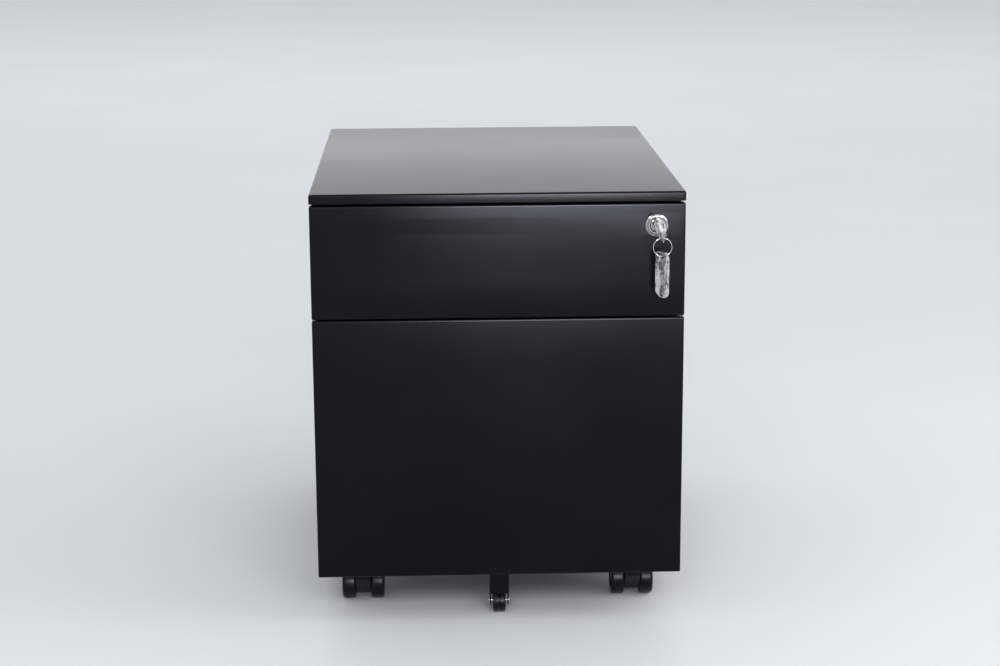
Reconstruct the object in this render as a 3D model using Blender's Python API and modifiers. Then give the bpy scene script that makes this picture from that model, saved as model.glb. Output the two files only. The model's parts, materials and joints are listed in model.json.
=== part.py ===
"""Rolling pedestal cabinet: a folded sheet-steel carcass with a box drawer and a file drawer on
ball-bearing slides, a cam lock with its keys, twin-wheel casters and a fifth wheel under the file
drawer. Metres, +Z up, fronts facing -Y, origin on the floor under the middle of the whole object."""

import math

import bmesh
import bpy
from mathutils import Matrix, Vector
from mathutils.geometry import convex_hull_2d

MM = 0.001
GAP = 0.3 * MM  # clearance between pieces that touch

# Carcass
HEIGHT = 470 * MM
TOP_HALF = 196 * MM
FRONT_Y = -243 * MM
BACK_Y = 277 * MM
SHEET = 1.0 * MM
TOP_LIP = 10.2 * MM
BODY_HALF = 194.5 * MM
STILE_Y = FRONT_Y + 30 * MM
STILE_IN = 181.5 * MM
BODY_BACK = BACK_Y - 2.6 * MM
BODY_BOTTOM = 52 * MM
BODY_TOP = HEIGHT - SHEET - GAP
BASE_DEEP = 14 * MM
BACK_DEEP = 12 * MM
INNER_FRONT = STILE_Y + 12 * MM
INNER_BACK = 255 * MM
INNER_LOW = 68 * MM
INNER_HIGH = 455 * MM

# Drawers
FRONT_HALF = 195 * MM
FRONT_DEEP = 14 * MM
FRONT_RETURN = 18 * MM
BOX_FRONT_Z = (340.8 * MM, 456.3 * MM)
FILE_FRONT_Z = (52.6 * MM, 337.9 * MM)
LINER_HALF = 178 * MM
BOX_LINER_Z = (345.5 * MM, 451.5 * MM)
FILE_LINER_Z = (53.6 * MM, 332 * MM)
TRAY_HALF = 168.2 * MM
TRAY_LONG = 440 * MM
BOX_TRAY_Z = (352 * MM, 437 * MM)
FILE_TRAY_Z = (68 * MM, 300 * MM)

# Telescopic slides: half heights, web places and flange tips of the three nested channels
SLIDE_LONG = 400 * MM
SLIDE_FRONT = FRONT_Y + 43 * MM
BOX_SLIDE_Z = 378 * MM
FILE_SLIDE_Z = 180 * MM
CHANNELS = {
    "outer": (21.9 * MM, 180.6 * MM, 172.5 * MM, 1.2 * MM),
    "middle": (17.5 * MM, 178.9 * MM, 170.5 * MM, 1.0 * MM),
    "inner": (12.5 * MM, 169.0 * MM, 176.5 * MM, 1.0 * MM),
}

# Lock
LOCK = Vector((165.3 * MM, FRONT_Y, HEIGHT - 35.5 * MM))
LOCK_HOLE = 9.3 * MM
PLUG_R = 6.9 * MM
CAM_FRONT = STILE_Y + SHEET + 0.4 * MM
CAM_THICK = 2 * MM
CAM_REACH = 22 * MM
CAM_TIP = 4 * MM
BAR_X = (184 * MM, 191 * MM)
BAR_Y = (CAM_FRONT + CAM_THICK + 0.6 * MM, CAM_FRONT + CAM_THICK + 1.8 * MM)
BAR_Z = (100 * MM, 446 * MM)
BAR_LIFT = 10 * MM
CATCH_Z = (290 * MM, 298 * MM)
CATCH_Y = (STILE_Y + 8 * MM, STILE_Y + 14 * MM)
CATCH_OUT = TRAY_HALF + 10.3 * MM
FINGER_IN = 172 * MM
FINGER_Z = (CATCH_Z[0] - 9.5 * MM, CATCH_Z[0] - 1.5 * MM)
LOCK_CORNER = (152 * MM, LOCK.z - CAM_REACH - 6.5 * MM)  # where the box tray is cut away
RAIL_Y = (-190 * MM, 215 * MM)
RAIL_X = (TRAY_HALF - 1.8 * MM, TRAY_HALF + 0.8 * MM)
GUIDE_Z = (140 * MM, 370 * MM)

# Keys
KEY_TILT = math.radians(-16)  # the keyway leans, its foot towards +X
KEY_THICK = 2.2 * MM
KEY_EYE = 25 * MM  # from the front plane out to the ring
STRIP_DROP = 12.6 * MM  # from the lock's axis down to the strip that carries the ring
RING_R = 9.65 * MM
RING_WIRE = 0.6 * MM
RING_DROP = 6.7 * MM
SPARE_TURN = math.radians(-53)
SLEEVE_THICK = 3.3 * MM
FILM = 0.3 * MM
SLACK = 0.6 * MM  # from a key's edge to its sleeve's

# Keys: the key's local x runs out of the lock and its y up; the spare's y runs up from its hook.
BOW_FOOT = (KEY_EYE - 0.5 * MM, -6.5 * MM)
BOW_HEAD = (KEY_EYE - 2.5 * MM, 4.5 * MM)
BOW_NECK = (10 * MM, 0.0)
FOOT_R = 7.6 * MM
HEAD_R = 8 * MM
NECK_R = 4.8 * MM
EYE_ENDS = ((KEY_EYE, -8.1 * MM), (KEY_EYE - 0.5 * MM, 3 * MM))
EYE_R = 3 * MM
EYE_SLACK = 0.4 * MM
BLADE_HALF = 3.9 * MM
BLADE_TIP = 2 * MM
BLADE_ROOT = 8 * MM
BLADE_END = -21.5 * MM
SLEEVE_MOUTH = 7.5 * MM
SPARE_EYE = (0, -2.4 * MM)
SPARE_EYE_R = 4 * MM
SPARE_HEAD = (0, -5.4 * MM)
SPARE_HEAD_R = 9.2 * MM
SPARE_WAIST = (0, -13 * MM)
SPARE_WAIST_R = 8 * MM
SPARE_BLADE = (-18 * MM, -42 * MM)
BAG_HALF = 10.3 * MM
BAG_TOP = 4.6 * MM
BAG_FOOT = -43.8 * MM
BAG_CORNER = 3 * MM

# Casters and the fifth wheel
CASTER_X = 150 * MM
CASTER_FRONT_Y = FRONT_Y + 65 * MM
CASTER_REAR_Y = BACK_Y - 65 * MM
TRAIL = 17 * MM
WHEEL_R = 20 * MM
WHEEL_IN = 8.7 * MM
WHEEL_WIDE = 14.6 * MM
WHEEL_SHOULDER = 3 * MM
HUB_R = 7.5 * MM
HUB_FACE = WHEEL_WIDE - 0.6 * MM
DISH_R = 14 * MM
DISH_FACE = WHEEL_WIDE - 2.4 * MM
AXLE_R = 3 * MM
AXLE_LONG = 45 * MM
FORK_HALF = 16.4 * MM / 2
BOSS = (35 * MM, 11.9 * MM)  # height and radius of the housing round the kingpin
HUB = (WHEEL_R, 11.5 * MM)  # the same round the axle
BRIDGE = (33.5 * MM, 9.5 * MM)  # and above the axle
HOOD_R = WHEEL_R + 2.3 * MM
HOOD_HALF = 23.4 * MM
HOOD_THICK = 1.6 * MM
HOOD_ARC = range(20, 121, 10)
MOUNT_HALF = 19 * MM
MOUNT_THICK = 1.7 * MM
RACE_R = 11 * MM
RACE_DROP = 4.5 * MM
KINGPIN_R = 3.8 * MM
KINGPIN_FOOT = 28 * MM
SOCKET_Z = (27.5 * MM, 49.5 * MM)
FIFTH = Vector((0, FRONT_Y + 30 * MM, 13 * MM))
FIFTH_R = 12.5 * MM
FIFTH_HALF = 6.8 * MM
CHEEK = 10.4 * MM
CHEEK_THICK = 1.3 * MM
FORK_FRONT = FRONT_Y + 18.5 * MM
FORK_BACK = FRONT_Y + 38 * MM
FORK_FACE_LOW = FIFTH.z + 11 * MM
FIFTH_BORE = 2.4 * MM

ALONG_X = (0, math.pi / 2, 0)
TO_FRONT = (math.pi / 2, 0, 0)  # turns local +Z to world -Y


def fresh_collection(name):
    collection = bpy.data.collections.new(name)
    bpy.context.scene.collection.children.link(collection)
    return collection


for old in list(bpy.data.objects):
    bpy.data.objects.remove(old, do_unlink=True)
PARTS = fresh_collection("pedestal_cabinet")
CUTTERS = fresh_collection("pedestal_cabinet_cutters")


# ------------------------------------------------------------------ helpers
def paint(name, colour, roughness, metallic=0.0, alpha=1.0):
    material = bpy.data.materials.new(name)
    material.use_nodes = True
    shader = material.node_tree.nodes["Principled BSDF"]
    shader.inputs["Base Color"].default_value = (*colour, 1.0)
    shader.inputs["Roughness"].default_value = roughness
    shader.inputs["Metallic"].default_value = metallic
    shader.inputs["Alpha"].default_value = alpha
    return material


POWDER = ((0.012, 0.013, 0.016), 0.38, 0.0)
ZINC = ((0.55, 0.56, 0.58), 0.35, 1.0)
CHROME = ((0.75, 0.75, 0.77), 0.12, 1.0)
BLACK_PLASTIC = ((0.02, 0.02, 0.023), 0.35, 0.0)
CLEAR_FILM = ((0.85, 0.87, 0.9), 0.2, 0.0, 0.4)


def body(name, at, parent=None):
    """An empty on the joint's axis. Its pieces and the bodies that it carries are its children."""
    empty = bpy.data.objects.new(name, None)
    PARTS.objects.link(empty)
    empty["world"] = tuple(at)
    empty.parent = parent
    empty.location = Vector(at) - Vector(parent["world"]) if parent else Vector(at)
    return empty


def piece(name, mesh, look, carrier, at=(0, 0, 0), turn=(0, 0, 0)):
    """A named sub-part: its mesh placed in the world at a point, carried by a body."""
    obj = bpy.data.objects.new(name, mesh)
    PARTS.objects.link(obj)
    obj.parent = carrier
    obj.rotation_euler = turn
    origin = Vector(carrier["world"])
    if Vector(at).length == 0 and not any(turn):
        mesh.transform(Matrix.Translation(-origin))
        obj.location = (0, 0, 0)
    else:
        obj.location = Vector(at) - origin
    mesh.materials.append(paint(name + "_look", *look))
    return obj


def helper(name, mesh, at=(0, 0, 0), turn=(0, 0, 0)):
    """A hidden solid that a Boolean reads."""
    obj = bpy.data.objects.new(name, mesh)
    CUTTERS.objects.link(obj)
    obj.location = at
    obj.rotation_euler = turn
    obj.hide_render = True
    obj.display_type = "WIRE"
    return obj


def finished(bm, name):
    bmesh.ops.recalc_face_normals(bm, faces=bm.faces)
    mesh = bpy.data.meshes.new(name)
    bm.to_mesh(mesh)
    bm.free()
    return mesh


def cube(bm, low, high):
    made = bmesh.ops.create_cube(bm, size=1.0)["verts"]
    size = Vector(high) - Vector(low)
    bmesh.ops.scale(bm, vec=size, verts=made)
    bmesh.ops.translate(bm, vec=(Vector(low) + Vector(high)) / 2, verts=made)


def block(name, low, high):
    bm = bmesh.new()
    cube(bm, low, high)
    return finished(bm, name)


def rod(name, radius, length, steps=24):
    """A cylinder along local Z, centred on its origin."""
    bm = bmesh.new()
    bmesh.ops.create_cone(
        bm, cap_ends=True, segments=steps, radius1=radius, radius2=radius, depth=length
    )
    return finished(bm, name)


def open_box(name, low, high, open_to, lip=0.0):
    """A box without one side, for folded sheet. A lip leaves a return flange round that side."""
    bm = bmesh.new()
    cube(bm, low, high)
    bm.normal_update()
    side = max(bm.faces, key=lambda face: face.normal.dot(Vector(open_to)))
    if lip:
        bmesh.ops.inset_region(bm, faces=[side], thickness=lip, use_even_offset=True)
    bmesh.ops.delete(bm, geom=[side], context="FACES")
    mesh = bpy.data.meshes.new(name)
    bm.to_mesh(mesh)
    bm.free()
    return mesh


def fold(obj, bend, sheet=SHEET, offset=-1.0, segments=2):
    """Rounds the folds and gives the surface its sheet thickness."""
    rounded = obj.modifiers.new("bends", "BEVEL")
    rounded.width = bend
    rounded.segments = segments
    rounded.limit_method = "ANGLE"
    skin = obj.modifiers.new("sheet", "SOLIDIFY")
    skin.thickness = sheet
    skin.offset = offset
    skin.use_even_offset = True
    return obj


def channel(name, points, travel):
    """An open section swept along a straight line, for a Solidify."""
    bm = bmesh.new()
    corners = [bm.verts.new(point) for point in points]
    edges = [bm.edges.new(pair) for pair in zip(corners, corners[1:])]
    swept = bmesh.ops.extrude_edge_only(bm, edges=edges)["geom"]
    moved = [item for item in swept if isinstance(item, bmesh.types.BMVert)]
    bmesh.ops.translate(bm, vec=travel, verts=moved)
    return finished(bm, name)


def boolean(obj, tool, operation="DIFFERENCE"):
    modifier = obj.modifiers.new(tool.name, "BOOLEAN")
    modifier.operation = operation
    modifier.solver = "EXACT"
    modifier.object = tool


def circle(centre, radius, steps=16):
    return [
        (
            centre[0] + radius * math.cos(2 * math.pi * i / steps),
            centre[1] + radius * math.sin(2 * math.pi * i / steps),
        )
        for i in range(steps)
    ]


def hull(*groups):
    """The outline round several groups of points, anticlockwise."""
    points = [point for group in groups for point in group]
    return [points[i] for i in convex_hull_2d(points)]


def plate(name, outlines, thickness):
    """A flat plate in local XY, centred on its plane; later outlines are its holes."""
    curve = bpy.data.curves.new(name, "CURVE")
    curve.dimensions = "2D"
    curve.fill_mode = "BOTH"
    curve.extrude = thickness / 2
    for outline in outlines:
        spline = curve.splines.new("POLY")
        spline.points.add(len(outline) - 1)
        spline.use_cyclic_u = True
        for point, (x, y) in zip(spline.points, outline):
            point.co = (x, y, 0, 1)
    drawn = bpy.data.objects.new(name + "_outline", curve)
    CUTTERS.objects.link(drawn)
    graph = bpy.context.evaluated_depsgraph_get()
    mesh = bpy.data.meshes.new_from_object(drawn.evaluated_get(graph))
    bpy.data.objects.remove(drawn)
    bpy.data.curves.remove(curve)
    bm = bmesh.new()
    bm.from_mesh(mesh)
    bmesh.ops.remove_doubles(bm, verts=bm.verts, dist=0.001 * MM)
    bpy.data.meshes.remove(mesh)
    return finished(bm, name)


def turned(obj_mesh, profile):
    """Fills a mesh with a closed profile of (radius, height) in local XZ, for a Screw."""
    bm = bmesh.new()
    corners = [bm.verts.new((radius, 0, height)) for radius, height in profile]
    for pair in zip(corners, corners[1:] + corners[:1]):
        bm.edges.new(pair)
    bm.to_mesh(obj_mesh)
    bm.free()
    return obj_mesh


def spin(obj, steps):
    screw = obj.modifiers.new("turning", "SCREW")
    screw.angle = 2 * math.pi
    screw.steps = steps
    screw.render_steps = steps
    screw.use_merge_vertices = True
    screw.merge_threshold = 0.01 * MM
    return obj


# ------------------------------------------------------------------ carcass
def make_carcass(carcass):
    top = open_box(
        "top_panel",
        (-TOP_HALF, FRONT_Y, HEIGHT - TOP_LIP),
        (TOP_HALF, BACK_Y, HEIGHT),
        (0, 0, -1),
    )
    fold(piece("top_panel", top, POWDER, carcass), 2.2 * MM)

    base = open_box(
        "base_panel",
        (-STILE_IN + GAP, STILE_Y, BODY_BOTTOM),
        (STILE_IN - GAP, BODY_BACK - BACK_DEEP - GAP, BODY_BOTTOM + BASE_DEEP),
        (0, 0, 1),
    )
    fold(piece("base_panel", base, POWDER, carcass), 1.5 * MM)

    back = open_box(
        "back_panel",
        (-STILE_IN + GAP, BODY_BACK - BACK_DEEP, BODY_BOTTOM),
        (STILE_IN - GAP, BODY_BACK, BODY_TOP),
        (0, -1, 0),
    )
    fold(piece("back_panel", back, POWDER, carcass), 1.5 * MM)

    for side, hand in ((-1, "left"), (1, "right")):
        make_side(carcass, side, hand)


def make_side(carcass, side, hand):
    xs = sorted((side * STILE_IN, side * BODY_HALF))
    outer = open_box(
        f"side_panel_{hand}",
        (xs[0], STILE_Y, BODY_BOTTOM),
        (xs[1], BODY_BACK, BODY_TOP),
        (-side, 0, 0),
    )
    fold(piece(f"side_panel_{hand}", outer, POWDER, carcass), 1.5 * MM)

    xs = sorted((side * STILE_IN, side * (BODY_HALF - SHEET - GAP)))
    lining = open_box(
        f"inner_side_{hand}",
        (xs[0], INNER_FRONT, INNER_LOW),
        (xs[1], INNER_BACK, INNER_HIGH),
        (side, 0, 0),
    )
    inner = fold(piece(f"inner_side_{hand}", lining, ZINC, carcass), 1.2 * MM)
    if side > 0:
        add_bar_guides(inner)


def add_bar_guides(inner):
    """Two eyes on the lining's front edge, which the lock bar slides through."""
    slack = 0.4 * MM
    half = 4 * MM
    for level, middle in enumerate(GUIDE_Z):
        lug = block(
            f"guide_lug_{level}",
            (BAR_X[0] - 1.5 * MM, STILE_Y + SHEET + GAP, middle - half),
            (BODY_HALF - SHEET - 0.4 * MM, INNER_FRONT + 0.5 * SHEET, middle + half),
        )
        boolean(inner, helper(f"guide_lug_{level}", lug), "UNION")
        eye = block(
            f"guide_eye_{level}",
            (BAR_X[0] - slack, BAR_Y[0] - slack, middle - 2 * half),
            (BAR_X[1] + slack, BAR_Y[1] + slack, middle + 2 * half),
        )
        boolean(inner, helper(f"guide_eye_{level}", eye))


def make_lock_bar(bar):
    """A flat bar behind the right stile, with a tab for the cam and a finger for the file drawer."""
    strip = block("lock_bar", (BAR_X[0], BAR_Y[0], BAR_Z[0]), (BAR_X[1], BAR_Y[1], BAR_Z[1]))
    made = piece("lock_bar", strip, ZINC, bar)
    tab_low = LOCK.z + CAM_TIP + 2 * GAP - BAR_LIFT
    tab = block(
        "lift_tab",
        (BAR_X[0], STILE_Y + SHEET + GAP, tab_low),
        (BAR_X[1] - 1 * MM, BAR_Y[0] + 0.5 * MM, tab_low + 1.2 * MM),
    )
    boolean(made, helper("lift_tab", tab), "UNION")
    finger = block(
        "bar_finger",
        (FINGER_IN, BAR_Y[0], FINGER_Z[0]),
        (BAR_X[0] + 1 * MM, BAR_Y[1], FINGER_Z[1]),
    )
    boolean(made, helper("bar_finger", finger), "UNION")


def make_slide_member(kind, drawer, level, side, hand, carrier):
    tall, web, tip, sheet = CHANNELS[kind]
    section = [
        (side * tip, SLIDE_FRONT, level + tall),
        (side * web, SLIDE_FRONT, level + tall),
        (side * web, SLIDE_FRONT, level - tall),
        (side * tip, SLIDE_FRONT, level - tall),
    ]
    name = f"{drawer}_slide_{kind}_{hand}"
    mesh = channel(name, section, (0, SLIDE_LONG, 0))
    fold(piece(name, mesh, ZINC, carrier), 1.6 * MM, sheet, 0.0)


# ------------------------------------------------------------------ drawers
def make_front(drawer, carrier, front_z, liner_z):
    skin = open_box(
        f"{drawer}_drawer_front",
        (-FRONT_HALF, FRONT_Y, front_z[0]),
        (FRONT_HALF, FRONT_Y + FRONT_DEEP, front_z[1]),
        (0, 1, 0),
        FRONT_RETURN,
    )
    face = fold(piece(f"{drawer}_drawer_front", skin, POWDER, carrier), 1.6 * MM)
    pan = open_box(
        f"{drawer}_drawer_liner",
        (-LINER_HALF, FRONT_Y + FRONT_DEEP + GAP, liner_z[0]),
        (LINER_HALF, STILE_Y - GAP, liner_z[1]),
        (0, -1, 0),
    )
    liner = fold(piece(f"{drawer}_drawer_liner", pan, POWDER, carrier), 1.5 * MM)
    return face, liner


def make_tray(drawer, carrier, tray_z):
    bin_mesh = open_box(
        f"{drawer}_drawer_tray",
        (-TRAY_HALF, STILE_Y, tray_z[0]),
        (TRAY_HALF, STILE_Y + TRAY_LONG, tray_z[1]),
        (0, 0, 1),
    )
    return fold(piece(f"{drawer}_drawer_tray", bin_mesh, POWDER, carrier), 1.5 * MM)


def make_box_drawer(drawer):
    face, liner = make_front("box", drawer, BOX_FRONT_Z, BOX_LINER_Z)
    tray = make_tray("box", drawer, BOX_TRAY_Z)
    for obj in (face, liner):
        hole = helper(
            f"lock_hole_{obj.name}", rod("lock_hole", LOCK_HOLE, 0.1, 32), LOCK, TO_FRONT
        )
        boolean(obj, hole)
    corner = block(
        "lock_corner",
        (LOCK_CORNER[0], STILE_Y - 1 * MM, LOCK_CORNER[1]),
        (TRAY_HALF + 2 * MM, STILE_Y + 10 * MM, BOX_TRAY_Z[1] + 3 * MM),
    )
    boolean(tray, helper("lock_corner", corner))

    rosette = [
        (7.2, 2.6),
        (8.8, 2.6),
        (9.4, 3.2),
        (10.2, 3.0),
        (11.2, 1.9),
        (12.2, 1.2),
        (12.25, 0.3),
        (8.9, 0.3),
        (8.9, -30.4),
        (7.2, -30.4),
    ]
    shell = turned(bpy.data.meshes.new("lock_body"), [(r * MM, h * MM) for r, h in rosette])
    spin(piece("lock_body", shell, CHROME, drawer, LOCK, TO_FRONT), 32)

    nut_thick = 3 * MM
    nut = plate("lock_nut", [circle((0, 0), 12 * MM, 6), circle((0, 0), 9.2 * MM, 24)], nut_thick)
    seat = LOCK + Vector((0, SHEET + GAP + nut_thick / 2, 0))
    piece("lock_nut", nut, ZINC, drawer, seat, TO_FRONT)


def make_file_drawer(drawer):
    make_front("file", drawer, FILE_FRONT_Z, FILE_LINER_Z)
    tray = make_tray("file", drawer, FILE_TRAY_Z)
    catch = block(
        "file_catch",
        (TRAY_HALF - 0.5 * SHEET, CATCH_Y[0], CATCH_Z[0]),
        (CATCH_OUT, CATCH_Y[1], CATCH_Z[1]),
    )
    boolean(tray, helper("file_catch", catch), "UNION")

    for side, hand in ((-1, "left"), (1, "right")):
        low, high = CATCH_Z[0], FILE_TRAY_Z[1] + 1 * MM
        inner, outer = side * RAIL_X[0], side * RAIL_X[1]
        corners = [(outer, low), (outer, high), (inner, high), (inner, low)]
        section = [(x, RAIL_Y[0], z) for x, z in corners]
        rail = channel(f"file_rail_{hand}", section, (0, RAIL_Y[1] - RAIL_Y[0], 0))
        fold(piece(f"file_rail_{hand}", rail, BLACK_PLASTIC, drawer), 0.6 * MM, 0.8 * MM, 0.0, 1)


def make_fifth_wheel(drawer, roller):
    """A fixed fork under the file drawer's front, which stops the cabinet from tipping."""
    fork_top = FILE_FRONT_Z[0] - GAP
    shelf = block(
        "anti_tip_bracket",
        (-CHEEK, FRONT_Y + 5 * MM, fork_top - CHEEK_THICK),
        (CHEEK, STILE_Y - GAP, fork_top),
    )
    bracket = piece("anti_tip_bracket", shelf, POWDER, drawer)
    face = block(
        "fork_face",
        (-CHEEK, FORK_FRONT, FORK_FACE_LOW),
        (CHEEK, FORK_FRONT + CHEEK_THICK, fork_top - 0.2 * MM),
    )
    boolean(bracket, helper("fork_face", face), "UNION")
    lobe = circle((-FIFTH.z, FIFTH.y), 5 * MM, 20)
    shoulder = -BODY_BOTTOM + GAP
    shoulders = [
        (shoulder, FORK_FRONT + 0.1 * MM),
        (shoulder, FORK_BACK),
        (-FORK_FACE_LOW, FORK_FRONT + 0.1 * MM),
    ]
    for side in (-1, 1):
        cheek = plate("fork_cheek", [hull(lobe, shoulders)], CHEEK_THICK)
        at = (side * (CHEEK - CHEEK_THICK / 2 - 0.05 * MM), 0, 0)
        boolean(bracket, helper(f"fork_cheek_{side}", cheek, at, ALONG_X), "UNION")
    bore = rod("fork_bore", 2.3 * MM, 0.03)
    boolean(bracket, helper("fork_bore", bore, FIFTH, ALONG_X))

    pin = rod("anti_tip_axle", 2 * MM, 2 * (CHEEK + 0.8 * MM), 16)
    piece("anti_tip_axle", pin, ZINC, drawer, FIFTH, ALONG_X)

    groove = 1 * MM
    corner = 1.5 * MM
    side = [
        (FIFTH_BORE, FIFTH_HALF),
        (FIFTH_R - corner, FIFTH_HALF),
        (FIFTH_R, FIFTH_HALF - corner),
        (FIFTH_R, groove),
        (FIFTH_R - 3 * groove, groove),
    ]
    tread = side + [(r, -h) for r, h in reversed(side)]
    wheel = turned(bpy.data.meshes.new("anti_tip_wheel"), tread)
    spin(piece("anti_tip_wheel", wheel, BLACK_PLASTIC, roller, FIFTH, ALONG_X), 24)


# ------------------------------------------------------------------ lock and keys
def make_lock_works(plug_body):
    barrel_long = 32.8 * MM
    middle = LOCK + Vector((0, barrel_long / 2 - 2 * MM, 0))
    barrel = rod("lock_plug", PLUG_R, barrel_long, 28)
    plug = piece("lock_plug", barrel, CHROME, plug_body, middle, TO_FRONT)
    slot = block(
        "keyway",
        (-1.3 * MM, -4 * MM, -4.3 * MM),
        (1.3 * MM, 24.5 * MM, 4.3 * MM),
    )
    boolean(plug, helper("keyway", slot, LOCK, (0, KEY_TILT, 0)))

    arm = hull(circle((0, 0), 6.5 * MM, 20), circle((0, -CAM_REACH), CAM_TIP, 16))
    lever = plate("lock_cam", [arm], CAM_THICK)
    at = Vector((LOCK.x, CAM_FRONT + CAM_THICK / 2, LOCK.z))
    cam = piece("lock_cam", lever, ZINC, plug_body, at, TO_FRONT)
    head = rod("cam_screw", 4 * MM, 3 * MM, 6)
    at = (LOCK.x, CAM_FRONT + CAM_THICK + 1.2 * MM, LOCK.z)
    boolean(cam, helper("cam_screw", head, at, TO_FRONT), "UNION")


def bag(name, outline, pocket, holes, carrier, at, frame):
    """A film sleeve: a flat bag with an open mouth and a hole for the ring."""
    outer = plate(name, [outline], SLEEVE_THICK)
    outer.transform(frame)
    sleeve = piece(name, outer, CLEAR_FILM, carrier, at)
    hollow = plate(name + "_pocket", [pocket], SLEEVE_THICK - 2 * FILM)
    hollow.transform(frame)
    boolean(sleeve, helper(name + "_pocket", hollow, at))
    eye = plate(name + "_eye", holes, 3 * SLEEVE_THICK)
    eye.transform(frame)
    boolean(sleeve, helper(name + "_eye", eye, at))


def bow_outline(slack):
    return hull(
        circle(BOW_FOOT, FOOT_R + slack, 24),
        circle(BOW_HEAD, HEAD_R + slack, 24),
        circle(BOW_NECK, NECK_R + slack, 12),
    )


def blade_outline(root, end):
    """A key blade along local x, from its root to its pointed end."""
    return [
        (end, -BLADE_TIP),
        (end + BLADE_TIP, -BLADE_HALF),
        (root, -BLADE_HALF),
        (root, BLADE_HALF),
        (end + BLADE_TIP, BLADE_HALF),
        (end, BLADE_TIP),
    ]


def make_key(key_body):
    frame = Matrix.Rotation(KEY_TILT, 4, "Y") @ Matrix(
        ((0, 0, -1, 0), (-1, 0, 0, 0), (0, 1, 0, 0), (0, 0, 0, 1))
    )
    eye = hull(*[circle(end, EYE_R, 12) for end in EYE_ENDS])
    key = piece("key", plate("key", [bow_outline(0), eye], KEY_THICK), ZINC, key_body, LOCK)
    key.data.transform(frame)
    blade = plate("key_blade", [blade_outline(BLADE_ROOT, BLADE_END)], KEY_THICK - 0.2 * MM)
    blade.transform(frame)
    boolean(key, helper("key_blade", blade, LOCK), "UNION")

    pocket = hull(bow_outline(SLACK - FILM), circle((0, 0), NECK_R, 12))
    hole = hull(*[circle(end, EYE_R + EYE_SLACK, 12) for end in EYE_ENDS])
    bag("key_sleeve", bow_outline(SLACK), pocket, [hole], key_body, LOCK, frame)
    reach = 2 * HEAD_R
    mouth = [(0, -reach), (SLEEVE_MOUTH, -reach), (SLEEVE_MOUTH, reach), (0, reach)]
    cut = plate("key_sleeve_mouth", [mouth], 3 * SLEEVE_THICK)
    cut.transform(frame)
    boolean(bpy.data.objects["key_sleeve"], helper("key_sleeve_mouth", cut, LOCK))


def bag_outline(inset, low):
    """The spare sleeve's rounded rectangle, down to a given level."""
    return hull(*[
        circle((side * (BAG_HALF - BAG_CORNER), level), BAG_CORNER - inset, 12)
        for side in (-1, 1)
        for level in (BAG_TOP - BAG_CORNER, low + BAG_CORNER)
    ])


def make_spare(spare_body, hook):
    """The spare key hangs from the foot of the ring."""
    frame = Matrix.Rotation(SPARE_TURN, 4, "Z") @ Matrix.Rotation(math.pi / 2, 4, "X")
    bow = hull(circle(SPARE_HEAD, SPARE_HEAD_R, 24), circle(SPARE_WAIST, SPARE_WAIST_R, 20))
    eye = circle(SPARE_EYE, SPARE_EYE_R, 16)
    flat = plate("spare_key", [bow, eye], KEY_THICK)
    spare = piece("spare_key", flat, ZINC, spare_body, hook)
    spare.data.transform(frame)
    outline = [(y, x) for x, y in blade_outline(*SPARE_BLADE)]
    blade = plate("spare_blade", [outline], KEY_THICK - 0.2 * MM)
    blade.transform(frame)
    boolean(spare, helper("spare_blade", blade, hook), "UNION")

    film = bag_outline(0, BAG_FOOT)
    pocket = bag_outline(FILM, 2 * BAG_FOOT)
    hole = circle(SPARE_EYE, SPARE_EYE_R + EYE_SLACK, 16)
    bag("spare_key_sleeve", film, pocket, [hole], spare_body, hook, frame)


def make_ring(ring_body, centre):
    bpy.ops.mesh.primitive_torus_add(
        major_segments=36, minor_segments=8, major_radius=RING_R, minor_radius=RING_WIRE
    )
    torus = bpy.context.active_object
    mesh = torus.data
    bpy.data.objects.remove(torus)
    piece("key_ring", mesh, CHROME, ring_body, centre, TO_FRONT)


# ------------------------------------------------------------------ casters
def make_caster(carcass, place, side, ahead, y):
    """One twin-wheel swivel caster. Its wheels trail towards +Y (ahead = 1) or -Y (ahead = -1)."""
    centre = Vector((side * CASTER_X, y, 0))
    axle_at = centre + Vector((0, ahead * TRAIL, WHEEL_R))
    make_caster_mount(carcass, place, centre)
    swivel = body(f"{place}_swivel", centre, carcass)
    make_caster_housing(swivel, place, centre, axle_at, ahead)
    axle = rod(f"{place}_axle", AXLE_R, AXLE_LONG, 16)
    piece(f"{place}_axle", axle, ZINC, swivel, axle_at, ALONG_X)
    for out, hand in ((-1, "left"), (1, "right")):
        roller = body(f"{place}_roller_{hand}", axle_at, swivel)
        make_caster_wheel(roller, f"{place}_wheel_{hand}", axle_at, out)


def make_caster_mount(carcass, place, centre):
    """The screwed plate with its ball race, and the kingpin below it."""
    top = BODY_BOTTOM - GAP
    lug = block(
        f"{place}_mount",
        centre + Vector((-MOUNT_HALF, -MOUNT_HALF, top - MOUNT_THICK)),
        centre + Vector((MOUNT_HALF, MOUNT_HALF, top)),
    )
    mount = piece(f"{place}_mount", lug, ZINC, carcass)
    overlap = top - MOUNT_THICK / 2
    race_low = top - RACE_DROP
    profile = [
        (0, overlap),
        (RACE_R, overlap),
        (RACE_R, race_low),
        (KINGPIN_R, race_low),
        (KINGPIN_R, KINGPIN_FOOT),
        (0, KINGPIN_FOOT),
    ]
    pin = turned(bpy.data.meshes.new("kingpin"), profile)
    boolean(mount, spin(helper(f"{place}_kingpin", pin, centre), 20), "UNION")


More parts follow.
